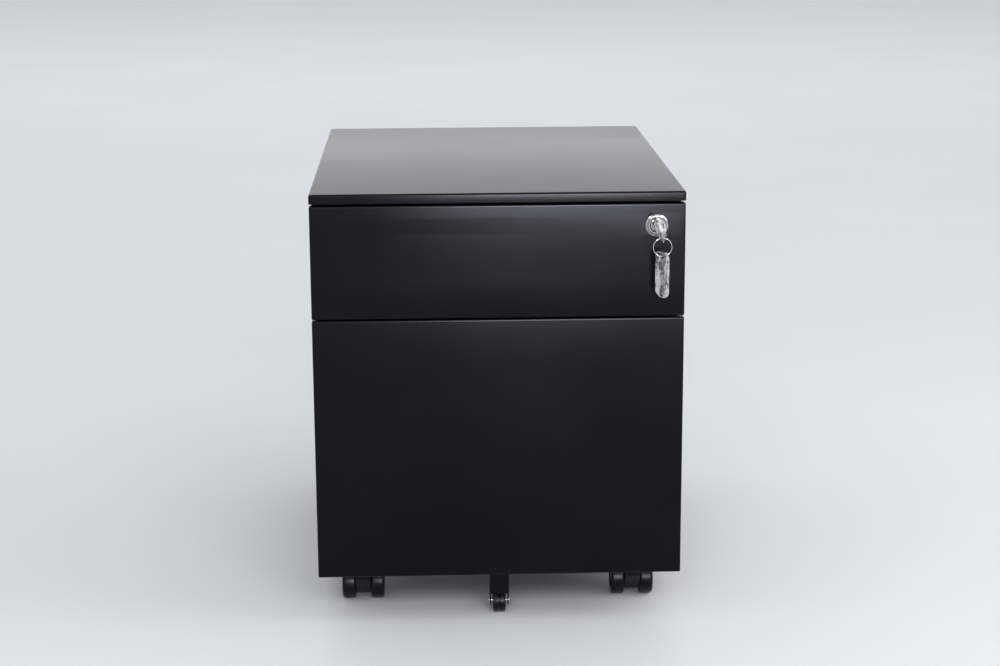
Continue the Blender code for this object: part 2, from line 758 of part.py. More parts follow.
def make_caster_housing(swivel, place, centre, axle_at, ahead):
    """The core between the wheels and the hood over them."""
    rounds = ((BOSS, 0), (HUB, ahead * TRAIL), (BRIDGE, ahead * TRAIL))
    outline = hull(*[circle((-height, y), radius, 20) for (height, radius), y in rounds])
    core = plate(f"{place}_housing", [outline], 2 * FORK_HALF)
    housing = piece(f"{place}_housing", core, BLACK_PLASTIC, swivel, centre, ALONG_X)
    arc = []
    for angle in HOOD_ARC:
        y = ahead * HOOD_R * math.cos(math.radians(angle))
        z = HOOD_R * math.sin(math.radians(angle))
        arc.append(axle_at + Vector((-HOOD_HALF, y, z)))
    hood = helper(f"{place}_hood", channel("hood", arc, (2 * HOOD_HALF, 0, 0)))
    skin = hood.modifiers.new("sheet", "SOLIDIFY")
    skin.thickness = HOOD_THICK
    skin.offset = 0.0
    boolean(housing, hood, "UNION")
    socket = rod("socket", KINGPIN_R + GAP, SOCKET_Z[1] - SOCKET_Z[0], 20)
    middle = centre + Vector((0, 0, sum(SOCKET_Z) / 2))
    boolean(housing, helper(f"{place}_socket", socket, middle))
    bore = rod("axle_bore", AXLE_R + GAP, 4 * FORK_HALF, 20)
    boolean(housing, helper(f"{place}_axle_bore", bore, axle_at, ALONG_X))


def rounded_shoulder(centre, radius, start, end, steps=2):
    """Points round a wheel's rounded shoulder, from one angle to another."""
    angles = [math.radians(start + (end - start) * i / steps) for i in range(steps + 1)]
    return [(centre[0] + radius * math.cos(a), centre[1] + radius * math.sin(a)) for a in angles]


def make_caster_wheel(roller, name, axle_at, out):
    """One wheel, with a dished outer face round its hub."""
    bore = AXLE_R + GAP
    outer = (WHEEL_R - WHEEL_SHOULDER, WHEEL_WIDE - WHEEL_SHOULDER)
    inner_round = WHEEL_SHOULDER * 0.75
    section = [
        (bore, HUB_FACE),
        (HUB_R, HUB_FACE),
        (HUB_R + 1 * MM, DISH_FACE),
        (DISH_R, DISH_FACE),
        (DISH_R + 1 * MM, WHEEL_WIDE),
        *rounded_shoulder(outer, WHEEL_SHOULDER, 90, 0),
        *rounded_shoulder((WHEEL_R - inner_round, inner_round), inner_round, 0, -90),
        (bore, 0),
    ]
    mesh = turned(bpy.data.meshes.new(name), section)
    at = axle_at + Vector((out * WHEEL_IN, 0, 0))
    spin(piece(name, mesh, BLACK_PLASTIC, roller, at, (0, out * math.pi / 2, 0)), 24)


# ------------------------------------------------------------------ the cabinet
def strip_centre():
    """The point on the key's lower strip that the ring turns about."""
    down = Vector((-math.sin(KEY_TILT), 0, -math.cos(KEY_TILT)))
    return LOCK + Vector((0, -KEY_EYE, 0)) + STRIP_DROP * down


def main():
    carcass = body("carcass", (0, 0, 0))
    make_carcass(carcass)
    make_lock_bar(body("lock_bar_body", (BAR_X[0], BAR_Y[0], BAR_Z[0]), carcass))

    box = body("box_drawer", (0, FRONT_Y, BOX_FRONT_Z[0]), carcass)
    file = body("file_drawer", (0, FRONT_Y, FILE_FRONT_Z[0]), carcass)
    make_box_drawer(box)
    make_file_drawer(file)
    for name, drawer, level in (("box", box, BOX_SLIDE_Z), ("file", file, FILE_SLIDE_Z)):
        middles = body(f"{name}_slide_middles", (0, SLIDE_FRONT, level), carcass)
        for side, hand in ((-1, "left"), (1, "right")):
            make_slide_member("outer", name, level, side, hand, carcass)
            make_slide_member("middle", name, level, side, hand, middles)
            make_slide_member("inner", name, level, side, hand, drawer)
    make_fifth_wheel(file, body("anti_tip_roller", FIFTH, file))

    plug_body = body("lock_plug_body", LOCK, box)
    make_lock_works(plug_body)
    key_body = body("key_body", LOCK, plug_body)
    make_key(key_body)
    hinge = strip_centre()
    ring_body = body("key_ring_body", hinge, key_body)
    ring_centre = hinge - Vector((0, 0, RING_DROP))
    make_ring(ring_body, ring_centre)
    hook = ring_centre - Vector((0, 0, RING_R))
    make_spare(body("spare_key_body", hook, ring_body), hook)

    for row, y, ahead in (("front", CASTER_FRONT_Y, 1), ("rear", CASTER_REAR_Y, -1)):
        for side, hand in ((-1, "left"), (1, "right")):
            make_caster(carcass, f"caster_{row}_{hand}", side, ahead, y)

    for obj in PARTS.objects:
        if obj.type == "MESH":
            obj.data.shade_smooth()
            obj.data.set_sharp_from_angle(angle=math.radians(30))


main()
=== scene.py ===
"""The rolling pedestal cabinet's looks: finer sheet metal, lock, keys, slides and casters round the
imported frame, with their materials, a pale floor, soft studio light and the camera."""

import json
import math

import bmesh
import bpy
from mathutils import Matrix, Vector, noise
from mathutils.geometry import convex_hull_2d


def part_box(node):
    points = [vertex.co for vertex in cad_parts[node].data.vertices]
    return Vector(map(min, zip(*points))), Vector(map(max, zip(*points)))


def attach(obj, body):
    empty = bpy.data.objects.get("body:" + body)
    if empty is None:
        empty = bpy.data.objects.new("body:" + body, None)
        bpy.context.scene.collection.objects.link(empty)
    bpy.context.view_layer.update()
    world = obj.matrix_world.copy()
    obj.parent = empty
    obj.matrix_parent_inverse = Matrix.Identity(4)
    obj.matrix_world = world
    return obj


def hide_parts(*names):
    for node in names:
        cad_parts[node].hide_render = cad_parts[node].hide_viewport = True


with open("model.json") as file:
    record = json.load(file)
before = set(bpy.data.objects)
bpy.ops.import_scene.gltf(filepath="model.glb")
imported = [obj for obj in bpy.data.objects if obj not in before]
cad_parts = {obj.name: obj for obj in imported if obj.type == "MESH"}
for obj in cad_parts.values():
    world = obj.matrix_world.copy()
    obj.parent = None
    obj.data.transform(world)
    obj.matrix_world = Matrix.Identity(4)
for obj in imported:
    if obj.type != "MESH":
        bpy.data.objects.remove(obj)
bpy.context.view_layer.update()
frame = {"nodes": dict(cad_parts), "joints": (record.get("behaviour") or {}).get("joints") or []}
MM = 0.001
SCENE = bpy.context.scene
JOINTS = {joint["name"]: joint for joint in frame["joints"]}
LOCK = Vector(JOINTS["lock_turn"]["pos_m"])
ALONG_X = Matrix.Rotation(math.pi / 2, 4, "Y")
TO_FRONT = Matrix.Rotation(math.pi / 2, 4, "X")
AS_IS = Matrix.Identity(4)
SIDES = ((-1, "left"), (1, "right"))

# the camera, fitted to the photo: its place beside the top panel, and its angles in degrees
CAMERA_LEFT = 70 * MM
CAMERA_BEFORE = 2.078
CAMERA_ABOVE = 0.342
CAMERA_YAW = 1.97
CAMERA_PITCH = 13.28
CAMERA_ROLL = -0.30
LENS_MM = 73.2
SENSOR_MM = 36

# the room: its walls, its ceiling, and between which heights the one turns into the other
WALLS = (0.97, 1.0, 1.02)
OVERHEAD = (0.62, 0.65, 0.67)
CEILING = (0.42, 0.74)
FLOOR_RADIUS = 14

# each lamp: place, target, width and height, brightness, and the group in LIT_BY that it is kept for
LAMPS = {
    "front_card": ((0.46, -3.7, 0.70), (0.1, 0, 0.4), (1.3, 1.0), 60, "front_card"),
    "front_fill": ((0.2, -2.7, 1.65), (0, -0.4, 0), (2.2, 0.8), 7.5, None),
    "back_top": ((0, 5.5, 3.8), (0, 4.0, 0), (6, 1.5), 1.6, None),
    "kicker_left": ((-1.5, -2.5, 2.3), LOCK, (1.0, 0.8), 28, "kickers"),
    "kicker_right": ((1.9, -2.3, 2.2), LOCK, (1.2, 0.9), 27, "kickers"),
    "side_right": ((2.3, -0.6, 1.7), (0, 0, 0.2), (1.6, 1.6), 2.4, None),
}
LIT_BY = {
    "front_card": ("powder", "tread"),
    "kickers": ("chrome", "turned", "nickel", "film"),
}
LIT = {name: bpy.data.collections.new("lit_by_" + name) for name in LIT_BY}

# folded sheet: its gauge, and the radii of its bends
SHEET = 1.0 * MM
PAN_BEND = 1.5 * MM
TOP_BEND = 2.4 * MM
FRONT_BEND = 1.6 * MM
FRONT_RETURN = 18 * MM
TOP_LIP_TUCK = math.radians(1.5)  # the top's front lip is folded a little past square
LEAN = 1.15 * MM  # how far a front leans back at its head, and over what height
LEAN_TALL = 80 * MM
# how far each front's skin reaches past its CAD box: at its foot, at its head, and on both sides
SKIN_REACH = {"box": (3.3 * MM, 1.1 * MM), "file": (0, -2.0 * MM)}
SKIN_WIDER = 0.7 * MM

# slide channels: the radius of the curled races, the gauge, and how far in the ball rows run
RACE = {"outer": 3.0 * MM, "middle": 2.6 * MM, "inner": 2.2 * MM}
GAUGE = {"outer": 1.2 * MM, "middle": 1.0 * MM, "inner": 1.0 * MM}
BALLS_INSET = 1.9 * MM
BALL_PITCH = 11 * MM
BALLS = 9

# keys: the turn of the one in the lock, how far its eye stands out, and the key's own measures
KEY_TILT = math.radians(-16)
SPARE_TURN = math.radians(-53)
EYE = 25 * MM
KEY_THICK = 2.2 * MM
BLADE_HALF = 3.9 * MM
BLADE_TIP = 2 * MM
BLADE_CUTS = [1.2 * MM, 2.3 * MM, 0.8 * MM, 1.9 * MM, 1.4 * MM]
FILM_GAP = 0.02 * MM
FILM_MESH = 0.75 * MM


# ------------------------------------------------------------------ camera, floor and light
def aim(eye, yaw, pitch, roll):
    """A camera matrix that looks along +Y at yaw 0; pitch is downwards. Angles in degrees."""
    turn = Matrix.Rotation(math.radians(-yaw), 4, "Z")
    tip = Matrix.Rotation(math.radians(90 - pitch), 4, "X")
    lean = Matrix.Rotation(math.radians(roll), 4, "Z")
    return Matrix.Translation(eye) @ turn @ tip @ lean


def make_camera():
    top_low, top_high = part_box("top_panel")
    eye = Vector((-CAMERA_LEFT, top_low.y - CAMERA_BEFORE, top_high.z + CAMERA_ABOVE))
    data = bpy.data.cameras.new("camera")
    data.lens = LENS_MM
    data.sensor_width = SENSOR_MM
    camera = bpy.data.objects.new("camera", data)
    camera.matrix_world = aim(eye, CAMERA_YAW, CAMERA_PITCH, CAMERA_ROLL)
    SCENE.collection.objects.link(camera)
    SCENE.camera = camera


def make_light(name, at, target, size, radiance, only):
    """A soft rectangular lamp; its power follows from its brightness and its area.

    A lamp that is kept for a group of materials reaches nothing else."""
    data = bpy.data.lights.new(name, "AREA")
    data.shape = "RECTANGLE"
    data.size, data.size_y = size
    data.energy = radiance * math.pi * size[0] * size[1]
    lamp = bpy.data.objects.new(name, data)
    lamp.location = at
    lamp.rotation_euler = (Vector(target) - Vector(at)).to_track_quat("-Z", "Y").to_euler()
    SCENE.collection.objects.link(lamp)
    if only:
        lamp.light_linking.receiver_collection = LIT[only]


def make_world():
    """A pale room: bright walls all round and a darker ceiling."""
    world = bpy.data.worlds.new("studio")
    world.use_nodes = True
    tree = world.node_tree
    where = tree.nodes.new("ShaderNodeTexCoord")
    split = tree.nodes.new("ShaderNodeSeparateXYZ")
    height = tree.nodes.new("ShaderNodeMapRange")
    height.interpolation_type = "SMOOTHSTEP"
    height.inputs["From Min"].default_value, height.inputs["From Max"].default_value = CEILING
    tree.links.new(where.outputs["Generated"], split.inputs["Vector"])
    tree.links.new(split.outputs["Z"], height.inputs["Value"])
    colour = blend(tree, height.outputs["Result"], WALLS, OVERHEAD)
    tree.links.new(colour, tree.nodes["Background"].inputs["Color"])
    SCENE.world = world


def blend(tree, factor, low, high):
    """The output of a node that mixes two colours."""
    mix = tree.nodes.new("ShaderNodeMix")
    mix.data_type = "RGBA"
    tree.links.new(factor, mix.inputs["Factor"])
    mix.inputs["A"].default_value = (*low, 1)
    mix.inputs["B"].default_value = (*high, 1)
    return mix.outputs["Result"]


def make_studio():
    SCENE.view_settings.view_transform = "Standard"
    make_world()
    for name, settings in LAMPS.items():
        make_light(name, *settings)
    bm = bmesh.new()
    bmesh.ops.create_circle(bm, cap_ends=True, segments=96, radius=FLOOR_RADIUS)
    mesh = as_mesh(bm, "floor")
    floor = bpy.data.objects.new("floor", mesh)
    SCENE.collection.objects.link(floor)
    paper = Shade("floor_paper", (0.68, 0.70, 0.72), 0.6)
    paper.vary_colour((0.690, 0.710, 0.730), (0.710, 0.730, 0.750), 1.4, 4)
    paper.bump(260, 0.08, 0.0004, 3)
    mesh.materials.append(paper.material)


# ------------------------------------------------------------------ materials
class Shade:
    """A Principled material that is built up in steps. Textures run in metres, fixed to the piece.

    It starts with a plain colour and roughness, which vary_colour and vary_roughness stand in for."""

    def __init__(self, name, colour, roughness, metallic=0.0):
        self.material = bpy.data.materials.new(name)
        self.material.use_nodes = True
        self.tree = self.material.node_tree
        self.shader = self.tree.nodes["Principled BSDF"]
        self.set("Base Color", (*colour, 1))
        self.set("Roughness", roughness)
        self.set("Metallic", metallic)
        self.place = self.tree.nodes.new("ShaderNodeTexCoord").outputs["Object"]
        self.relief = None

    def set(self, name, value):
        self.shader.inputs[name].default_value = value

    def add(self, kind, **inputs):
        node = self.tree.nodes.new("ShaderNode" + kind)
        for name, value in inputs.items():
            self.feed(value, node.inputs[name.replace("_", " ")])
        return node

    def feed(self, value, socket):
        """Gives a socket either another node's output or a plain value."""
        if isinstance(value, bpy.types.NodeSocket):
            self.tree.links.new(value, socket)
        else:
            socket.default_value = value

    def work_out(self, operation, *values, kind="Math", output="Value", clamp=False):
        """The output of a math node, from other outputs or plain values."""
        node = self.add(kind)
        node.operation = operation
        if clamp:
            node.use_clamp = True
        for value, socket in zip(values, node.inputs):
            self.feed(value, socket)
        return node.outputs[output]

    def link(self, socket, name):
        self.tree.links.new(socket, self.shader.inputs[name])

    def stretched(self, scale):
        node = self.add("Mapping", Vector=self.place)
        node.inputs["Scale"].default_value = scale
        return node.outputs["Vector"]

    def noise(self, scale, detail=2.0, roughness=0.5, where=None):
        node = self.add(
            "TexNoise", Vector=where or self.place, Scale=scale, Detail=detail, Roughness=roughness
        )
        return node.outputs["Fac"]

    def ramp(self, value, low, high, at=(0.35, 0.65)):
        """Colours or numbers from low to high as a texture goes between two values."""
        node = self.add("MapRange", Value=value)
        node.inputs["From Min"].default_value, node.inputs["From Max"].default_value = at
        if isinstance(low, tuple):
            return blend(self.tree, node.outputs["Result"], low, high)
        node.inputs["To Min"].default_value, node.inputs["To Max"].default_value = low, high
        return node.outputs["Result"]

    def vary_colour(self, low, high, scale, detail=3.0, where=None):
        self.link(self.ramp(self.noise(scale, detail, where=where), low, high), "Base Color")

    def vary_roughness(self, low, high, scale, detail=4.0, where=None):
        self.link(self.ramp(self.noise(scale, detail, where=where), low, high), "Roughness")

    def bump(self, scale, strength, distance, detail=2.0, where=None):
        self.raise_by(self.noise(scale, detail, where=where), strength, distance)

    def raise_by(self, height, strength, distance):
        node = self.add("Bump", Height=height, Strength=strength, Distance=distance)
        if self.relief:
            self.tree.links.new(self.relief, node.inputs["Normal"])
        self.relief = node.outputs["Normal"]
        self.link(self.relief, "Normal")


def powder_coat():
    """Satin black powder: faint orange peel, a fine grain, and slightly uneven gloss."""
    coat = Shade("powder_coat_black", (0.0012, 0.0013, 0.0017), 0.22)
    coat.set("Specular Tint", (0.126, 0.137, 0.158, 1))
    coat.vary_colour((0.0010, 0.0011, 0.0015), (0.0015, 0.0016, 0.0021), 7)
    coat.vary_roughness(0.21, 0.23, 11)
    coat.bump(620, 0.10, 0.00025, 2)
    coat.bump(3300, 0.08, 0.00006, 1)
    return coat.material


def inner_coat():
    """The same powder on the inside of the trays, a little drier."""
    coat = Shade("powder_coat_inside", (0.008, 0.0085, 0.010), 0.40)
    coat.set("IOR", 1.3)
    coat.vary_colour((0.007, 0.0075, 0.009), (0.011, 0.0115, 0.0135), 9)
    coat.vary_roughness(0.36, 0.46, 14)
    coat.bump(700, 0.18, 0.00025, 2)
    return coat.material


def zinc(name="zinc_plate", tint=(0.60, 0.62, 0.66)):
    """Bright zinc plate with rolling marks along Y and a faint iridescent cast."""
    steel = Shade(name, tint, 0.34, 1.0)
    cool = tuple(c * 0.92 for c in tint)
    warm = (tint[0] * 1.05, tint[1] * 1.03, tint[2] * 0.98)
    steel.vary_colour(cool, warm, 38)
    along = steel.stretched((1, 0.03, 1))
    steel.vary_roughness(0.26, 0.42, 900, 3, along)
    steel.bump(1400, 0.12, 0.00005, 2, along)
    return steel.material


def chrome():
    plate = Shade("chrome_plate", (0.52, 0.52, 0.535), 0.08, 1.0)
    plate.vary_roughness(0.05, 0.13, 500)
    plate.bump(2600, 0.03, 0.00003, 1)
    return plate.material


def turned_chrome(centre):
    """Chrome with fine concentric turning marks round an axis along Y."""
    pitch = 0.35 * MM
    plate = Shade("chrome_turned", (0.40, 0.40, 0.415), 0.14, 1.0)
    node = plate.add("Mapping", Vector=plate.place)
    node.inputs["Location"].default_value = -centre
    vector = {"kind": "VectorMath"}
    spread = plate.work_out("MULTIPLY", node.outputs["Vector"], (1, 0, 1), output="Vector", **vector)
    reach = plate.work_out("LENGTH", spread, **vector)
    rings = plate.work_out("MULTIPLY", reach, 2 * math.pi / pitch)
    plate.raise_by(plate.work_out("SINE", rings), 0.10, 0.00002)
    plate.vary_roughness(0.08, 0.14, 700)
    return plate.material


def nickel():
    """Nickel-plated brass, with light scratches along the key."""
    key = Shade("nickel_plate", (0.17, 0.168, 0.16), 0.26, 1.0)
    key.vary_colour((0.12, 0.118, 0.112), (0.24, 0.235, 0.225), 260)
    key.vary_roughness(0.20, 0.36, 1200, 3, key.stretched((1, 1, 0.08)))
    key.bump(2600, 0.12, 0.00004, 2, key.stretched((1, 1, 0.06)))
    return key.material


def moulded(name, colour, low, high, grain=1500, depth=0.00008):
    """Black moulded plastic with a fine spark-eroded grain."""
    plastic = Shade(name, colour, (low + high) / 2)
    bright = tuple(c * 1.5 for c in colour)
    plastic.set("Specular Tint", (0.14, 0.14, 0.14, 1))
    plastic.vary_colour(colour, bright, 90)
    plastic.vary_roughness(low, high, 160)
    plastic.bump(grain, 0.25, depth, 2)
    return plastic.material


def tread():
    """Nylon tread: smooth round the wheel, with fine scuffs and a trace of dust."""
    rubber = Shade("caster_tread", (0.003, 0.003, 0.0035), 0.24)
    rubber.set("Specular Tint", (0.12, 0.12, 0.125, 1))
    scuffs = rubber.noise(520, 5, 0.7, rubber.stretched((0.35, 1, 1)))
    worn = rubber.ramp(scuffs, (0.002, 0.002, 0.003), (0.008, 0.008, 0.009), (0.52, 0.86))
    rubber.link(worn, "Base Color")
    rubber.link(rubber.ramp(scuffs, 0.26, 0.42, (0.35, 0.75)), "Roughness")
    rubber.bump(900, 0.10, 0.0001, 3)
    return rubber.material


def film():
    """Thin clear bag: crinkled, milky where it folds, with a painted rim highlight: its colour is
    painted brighter where it turns edge-on.
    """
    bag = Shade("clear_film", (0.25, 0.255, 0.27), 0.3)
    creases = bag.noise(330, 4, 0.62)
    fine = bag.noise(1300, 3, 0.6)
    patches = bag.noise(150, 2, 0.55, bag.stretched((1, 1, 0.45)))
    facing = bag.add("LayerWeight", Blend=0.42).outputs["Facing"]
    folds = bag.ramp(creases, -0.12, 0.34, (0.40, 0.62))
    clear = bag.ramp(patches, -0.06, 0.62, (0.44, 0.56))
    rim = bag.ramp(facing, 0.0, 0.7, (0.12, 0.85))
    both = bag.work_out("ADD", folds, clear)
    bag.link(bag.work_out("ADD", both, rim, clamp=True), "Alpha")
    # painted rim highlight: the base colour is painted brighter where the film turns edge-on and
    # darker where it faces the view
    painted_rim_highlight = bag.add("ValToRGB", Fac=facing)
    stops = ((0.3, (0.35, 0.355, 0.37, 1)), (0.8, (0.80, 0.81, 0.83, 1)))
    for element, (position, colour) in zip(painted_rim_highlight.color_ramp.elements, stops):
        element.position = position
        element.color = colour
    bag.link(painted_rim_highlight.outputs["Color"], "Base Color")
    bag.link(bag.ramp(fine, 0.18, 0.36), "Roughness")
    bag.set("Specular IOR Level", 0.4)
    bag.raise_by(creases, 0.8, 0.0010)
    bag.raise_by(fine, 0.4, 0.0002)
    return bag.material


LOOKS = {}


def look(name):
    """Each material is made once, when a piece first asks for it."""
    makers = {
        "powder": powder_coat,
        "inside": inner_coat,
        "zinc": zinc,
        "dark_zinc": lambda: zinc("zinc_dark", (0.34, 0.35, 0.37)),
        "balls": lambda: zinc("bearing_steel", (0.72, 0.73, 0.75)),
        "chrome": chrome,
        "turned": lambda: turned_chrome(LOCK),
        "nickel": nickel,
        "nylon": lambda: moulded("caster_nylon", (0.006, 0.006, 0.007), 0.34, 0.46),
        "rail": lambda: moulded("rail_plastic", (0.022, 0.022, 0.024), 0.48, 0.62),
        "tread": tread,
        "film": film,
    }
    if name not in LOOKS:
        LOOKS[name] = makers[name]()
    return LOOKS[name]


# ------------------------------------------------------------------ building
def piece(name, bm, material, body, replaces=(), sharp=32, recalc=True):
    """A finished piece from a bmesh in world metres, riding on a body."""
    if recalc:
        bmesh.ops.recalc_face_normals(bm, faces=bm.faces)
    mesh = as_mesh(bm, name)
    obj = bpy.data.objects.new(name, mesh)
    SCENE.collection.objects.link(obj)
    mesh.materials.clear()
    mesh.materials.append(look(material))
    mesh.shade_smooth()
    mesh.set_sharp_from_angle(angle=math.radians(sharp))
    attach(obj, body)
    for lamp, materials in LIT_BY.items():
        if material in materials:
            LIT[lamp].objects.link(obj)
    if replaces:
        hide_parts(*([replaces] if isinstance(replaces, str) else replaces))


def as_mesh(bm, name="work"):
    mesh = bpy.data.meshes.new(name)
    bm.to_mesh(mesh)
    bm.free()
    return mesh


def clamped(value):
    return min(1.0, max(0.0, value))


def placed(at, matrix=AS_IS):
    """A matrix that turns by another and then moves to a point."""
    return Matrix.Translation(at) @ matrix


def modified(bm, modifiers):
    """The bmesh that a list of (type, settings) modifiers makes of another."""
    return evaluated(as_mesh(bm), modifiers)


def evaluated(data, modifiers=()):
    """The faces of a mesh or a curve, after its modifiers, as a new bmesh."""
    obj = bpy.data.objects.new("work", data)
    SCENE.collection.objects.link(obj)
    for kind, settings in modifiers:
        modifier = obj.modifiers.new(kind, kind)
        for key, value in settings.items():
            setattr(modifier, key, value)
    graph = bpy.context.evaluated_depsgraph_get()
    made = bpy.data.meshes.new_from_object(obj.evaluated_get(graph))
    bpy.data.objects.remove(obj)
    result = bmesh.new()
    result.from_mesh(made)
    return result


def rounded(width, segments=3, angle=30):
    return ("BEVEL", {
        "width": width,
        "segments": segments,
        "limit_method": "ANGLE",
        "angle_limit": math.radians(angle),
    })


def thick(sheet, offset=-1.0):
    return ("SOLIDIFY", {"thickness": sheet, "offset": offset, "use_even_offset": True})


def cut(bm, cutters, operation="DIFFERENCE"):
    """Cuts closed bmeshes out of another, or joins them on."""
    helpers = []
    steps = []
    for cutter in cutters:
        bmesh.ops.recalc_face_normals(cutter, faces=cutter.faces)
        helper = bpy.data.objects.new("cutter", as_mesh(cutter))
        SCENE.collection.objects.link(helper)
        helpers.append(helper)
        steps.append(("BOOLEAN", {"object": helper, "operation": operation, "solver": "EXACT"}))
    result = modified(bm, steps)
    for helper in helpers:
        bpy.data.objects.remove(helper)
    return result


def merge(target, source):
    """Adds one bmesh's faces to another."""
    mesh = as_mesh(source)
    target.from_mesh(mesh)
    bpy.data.meshes.remove(mesh)
    return target


def cuboid(low, high):
    bm = bmesh.new()
    made = bmesh.ops.create_cube(bm, size=1.0)["verts"]
    bmesh.ops.scale(bm, vec=Vector(high) - Vector(low), verts=made)
    bmesh.ops.translate(bm, vec=(Vector(low) + Vector(high)) / 2, verts=made)
    return bm


def cylinder(at, matrix, radius, length, steps=48):
    """A cylinder about local Z, centred on a point."""
    bm = bmesh.new()
    bmesh.ops.create_cone(
        bm, cap_ends=True, segments=steps, radius1=radius, radius2=radius, depth=length
    )
    bm.transform(placed(at, matrix))
    return bm


def both_ways(profile):
    """A profile of (radius, height) points, and its mirror image below."""
    return profile + [(r, -h) for r, h in reversed(profile)]


def lathe(profile, at, matrix, steps=64, closed=True):
    """A turned body: (radius, height) points in mm about local Z, placed by a matrix."""
    bm = bmesh.new()
    rims = []
    for i in range(steps):
        angle = 2 * math.pi * i / steps
        rims.append([
            bm.verts.new((r * MM * math.cos(angle), r * MM * math.sin(angle), h * MM))
            for r, h in profile
        ])
    count = len(profile)
    for i in range(steps):
        near, far = rims[i], rims[(i + 1) % steps]
        for j in range(count if closed else count - 1):
            k = (j + 1) % count
            bm.faces.new((near[j], far[j], far[k], near[k]))
    bmesh.ops.remove_doubles(bm, verts=bm.verts, dist=0.002 * MM)
    bm.transform(placed(at, matrix))
    return bm


def arc(centre, radius, start, end, steps):
    """Points of a circle's arc, from one angle to another in degrees."""
    return [
        (
            centre[0] + radius * math.cos(math.radians(start + (end - start) * i / steps)),
            centre[1] + radius * math.sin(math.radians(start + (end - start) * i / steps)),
        )
        for i in range(steps + 1)
    ]


def softened(points, radius, steps=4, closed=True):
    """A polygon or open path with its corners rounded."""
    out = []
    count = len(points)
    for i, point in enumerate(points):
        if not closed and i in (0, count - 1):
            out.append(tuple(point))
            continue
        here = Vector(point)
        before = Vector(points[i - 1]) - here
        after = Vector(points[(i + 1) % count]) - here
        reach = min(radius, before.length * 0.49, after.length * 0.49)
        start = here + before.normalized() * reach
        end = here + after.normalized() * reach
        for j in range(steps + 1):
            t = j / steps
            bend = start * (1 - t) ** 2 + here * 2 * t * (1 - t) + end * t * t
            out.append(tuple(bend))
    return out


def ring(centre, radius, steps=48):
    return arc(centre, radius, 0, 360, steps)[:-1]


def hull(*groups):
    points = [point for group in groups for point in group]
    return [points[i] for i in convex_hull_2d(points)]


def plate(outlines, thickness, matrix):
    """A flat plate in local XY with holes, centred on its plane."""
    curve = bpy.data.curves.new("plate", "CURVE")
    curve.dimensions = "2D"
    curve.fill_mode = "BOTH"
    curve.extrude = thickness / 2
    for outline in outlines:
        spline = curve.splines.new("POLY")
        spline.points.add(len(outline) - 1)
        spline.use_cyclic_u = True
        for point, (x, y) in zip(spline.points, outline):
            point.co = (x, y, 0, 1)
    bm = evaluated(curve)
    bmesh.ops.remove_doubles(bm, verts=bm.verts, dist=0.001 * MM)
    bmesh.ops.recalc_face_normals(bm, faces=bm.faces)
    bm.transform(matrix)
    return bm


def swept(points, travel, sheet, offset=0.0):
    """An open section of 3-D points, swept along a vector and given a thickness."""
    bm = bmesh.new()
    corners = [bm.verts.new(point) for point in points]
    edges = [bm.edges.new(pair) for pair in zip(corners, corners[1:])]
    made = bmesh.ops.extrude_edge_only(bm, edges=edges)["geom"]
    moved = [item for item in made if isinstance(item, bmesh.types.BMVert)]
    bmesh.ops.translate(bm, vec=travel, verts=moved)
    return modified(bm, [thick(sheet, offset)])


def wire(points, radius, sides=4):
    """A bent wire as a bmesh, from points along its middle."""
    curve = bpy.data.curves.new("wire", "CURVE")
    curve.dimensions = "3D"
    curve.bevel_depth = radius
    curve.bevel_resolution = sides
    curve.use_fill_caps = True
    spline = curve.splines.new("POLY")
    spline.points.add(len(points) - 1)
    for point, place in zip(spline.points, points):
        point.co = (*place, 1)
    return evaluated(curve)


# ------------------------------------------------------------------ sheet metal
def pan(low, high, open_to, bend, lip=0.0):
    """A folded pan: a box open on one side, with bent corners and a return flange if it has a lip."""
    bm = cuboid(low, high)
    bm.normal_update()
    side = max(bm.faces, key=lambda face: face.normal.dot(Vector(open_to)))
    if lip:
        bmesh.ops.inset_region(bm, faces=[side], thickness=lip, use_even_offset=True)
    bmesh.ops.delete(bm, geom=[side], context="FACES")
    return modified(bm, [rounded(bend, 5), thick(SHEET)])


def upright_to(direction):
    """The turn that brings local Z to a direction."""
    return Vector((0, 0, 1)).rotation_difference(Vector(direction)).to_matrix().to_4x4()


def spot_welds(points, normal):
    """Shallow electrode marks: dished discs that lie on the sheet."""
    radius = 2.4
    sink = 0.12
    bm = bmesh.new()
    turn = upright_to(normal)
    section = [(0, -sink * 0.2), (radius * 0.72, 0.2 * sink), (radius * 0.88, sink), (radius, 0)]
    for point in points:
        merge(bm, lathe(section, Vector(point), turn, 20, closed=False))
    return bm


def row(start, end, count):
    a, b = Vector(start), Vector(end)
    return [a.lerp(b, i / (count - 1)) for i in range(count)]


def make_top():
    low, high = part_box("top_panel")
    bm = pan(low, high, (0, 0, -1), TOP_BEND)
    front_zone = 3 * MM
    for vert in bm.verts:
        if vert.co.y < low.y + front_zone:
            vert.co.y += (high.z - vert.co.z) * math.tan(TOP_LIP_TUCK)
    piece("top_panel_folded", bm, "powder", "carcass", "top_panel", 40)


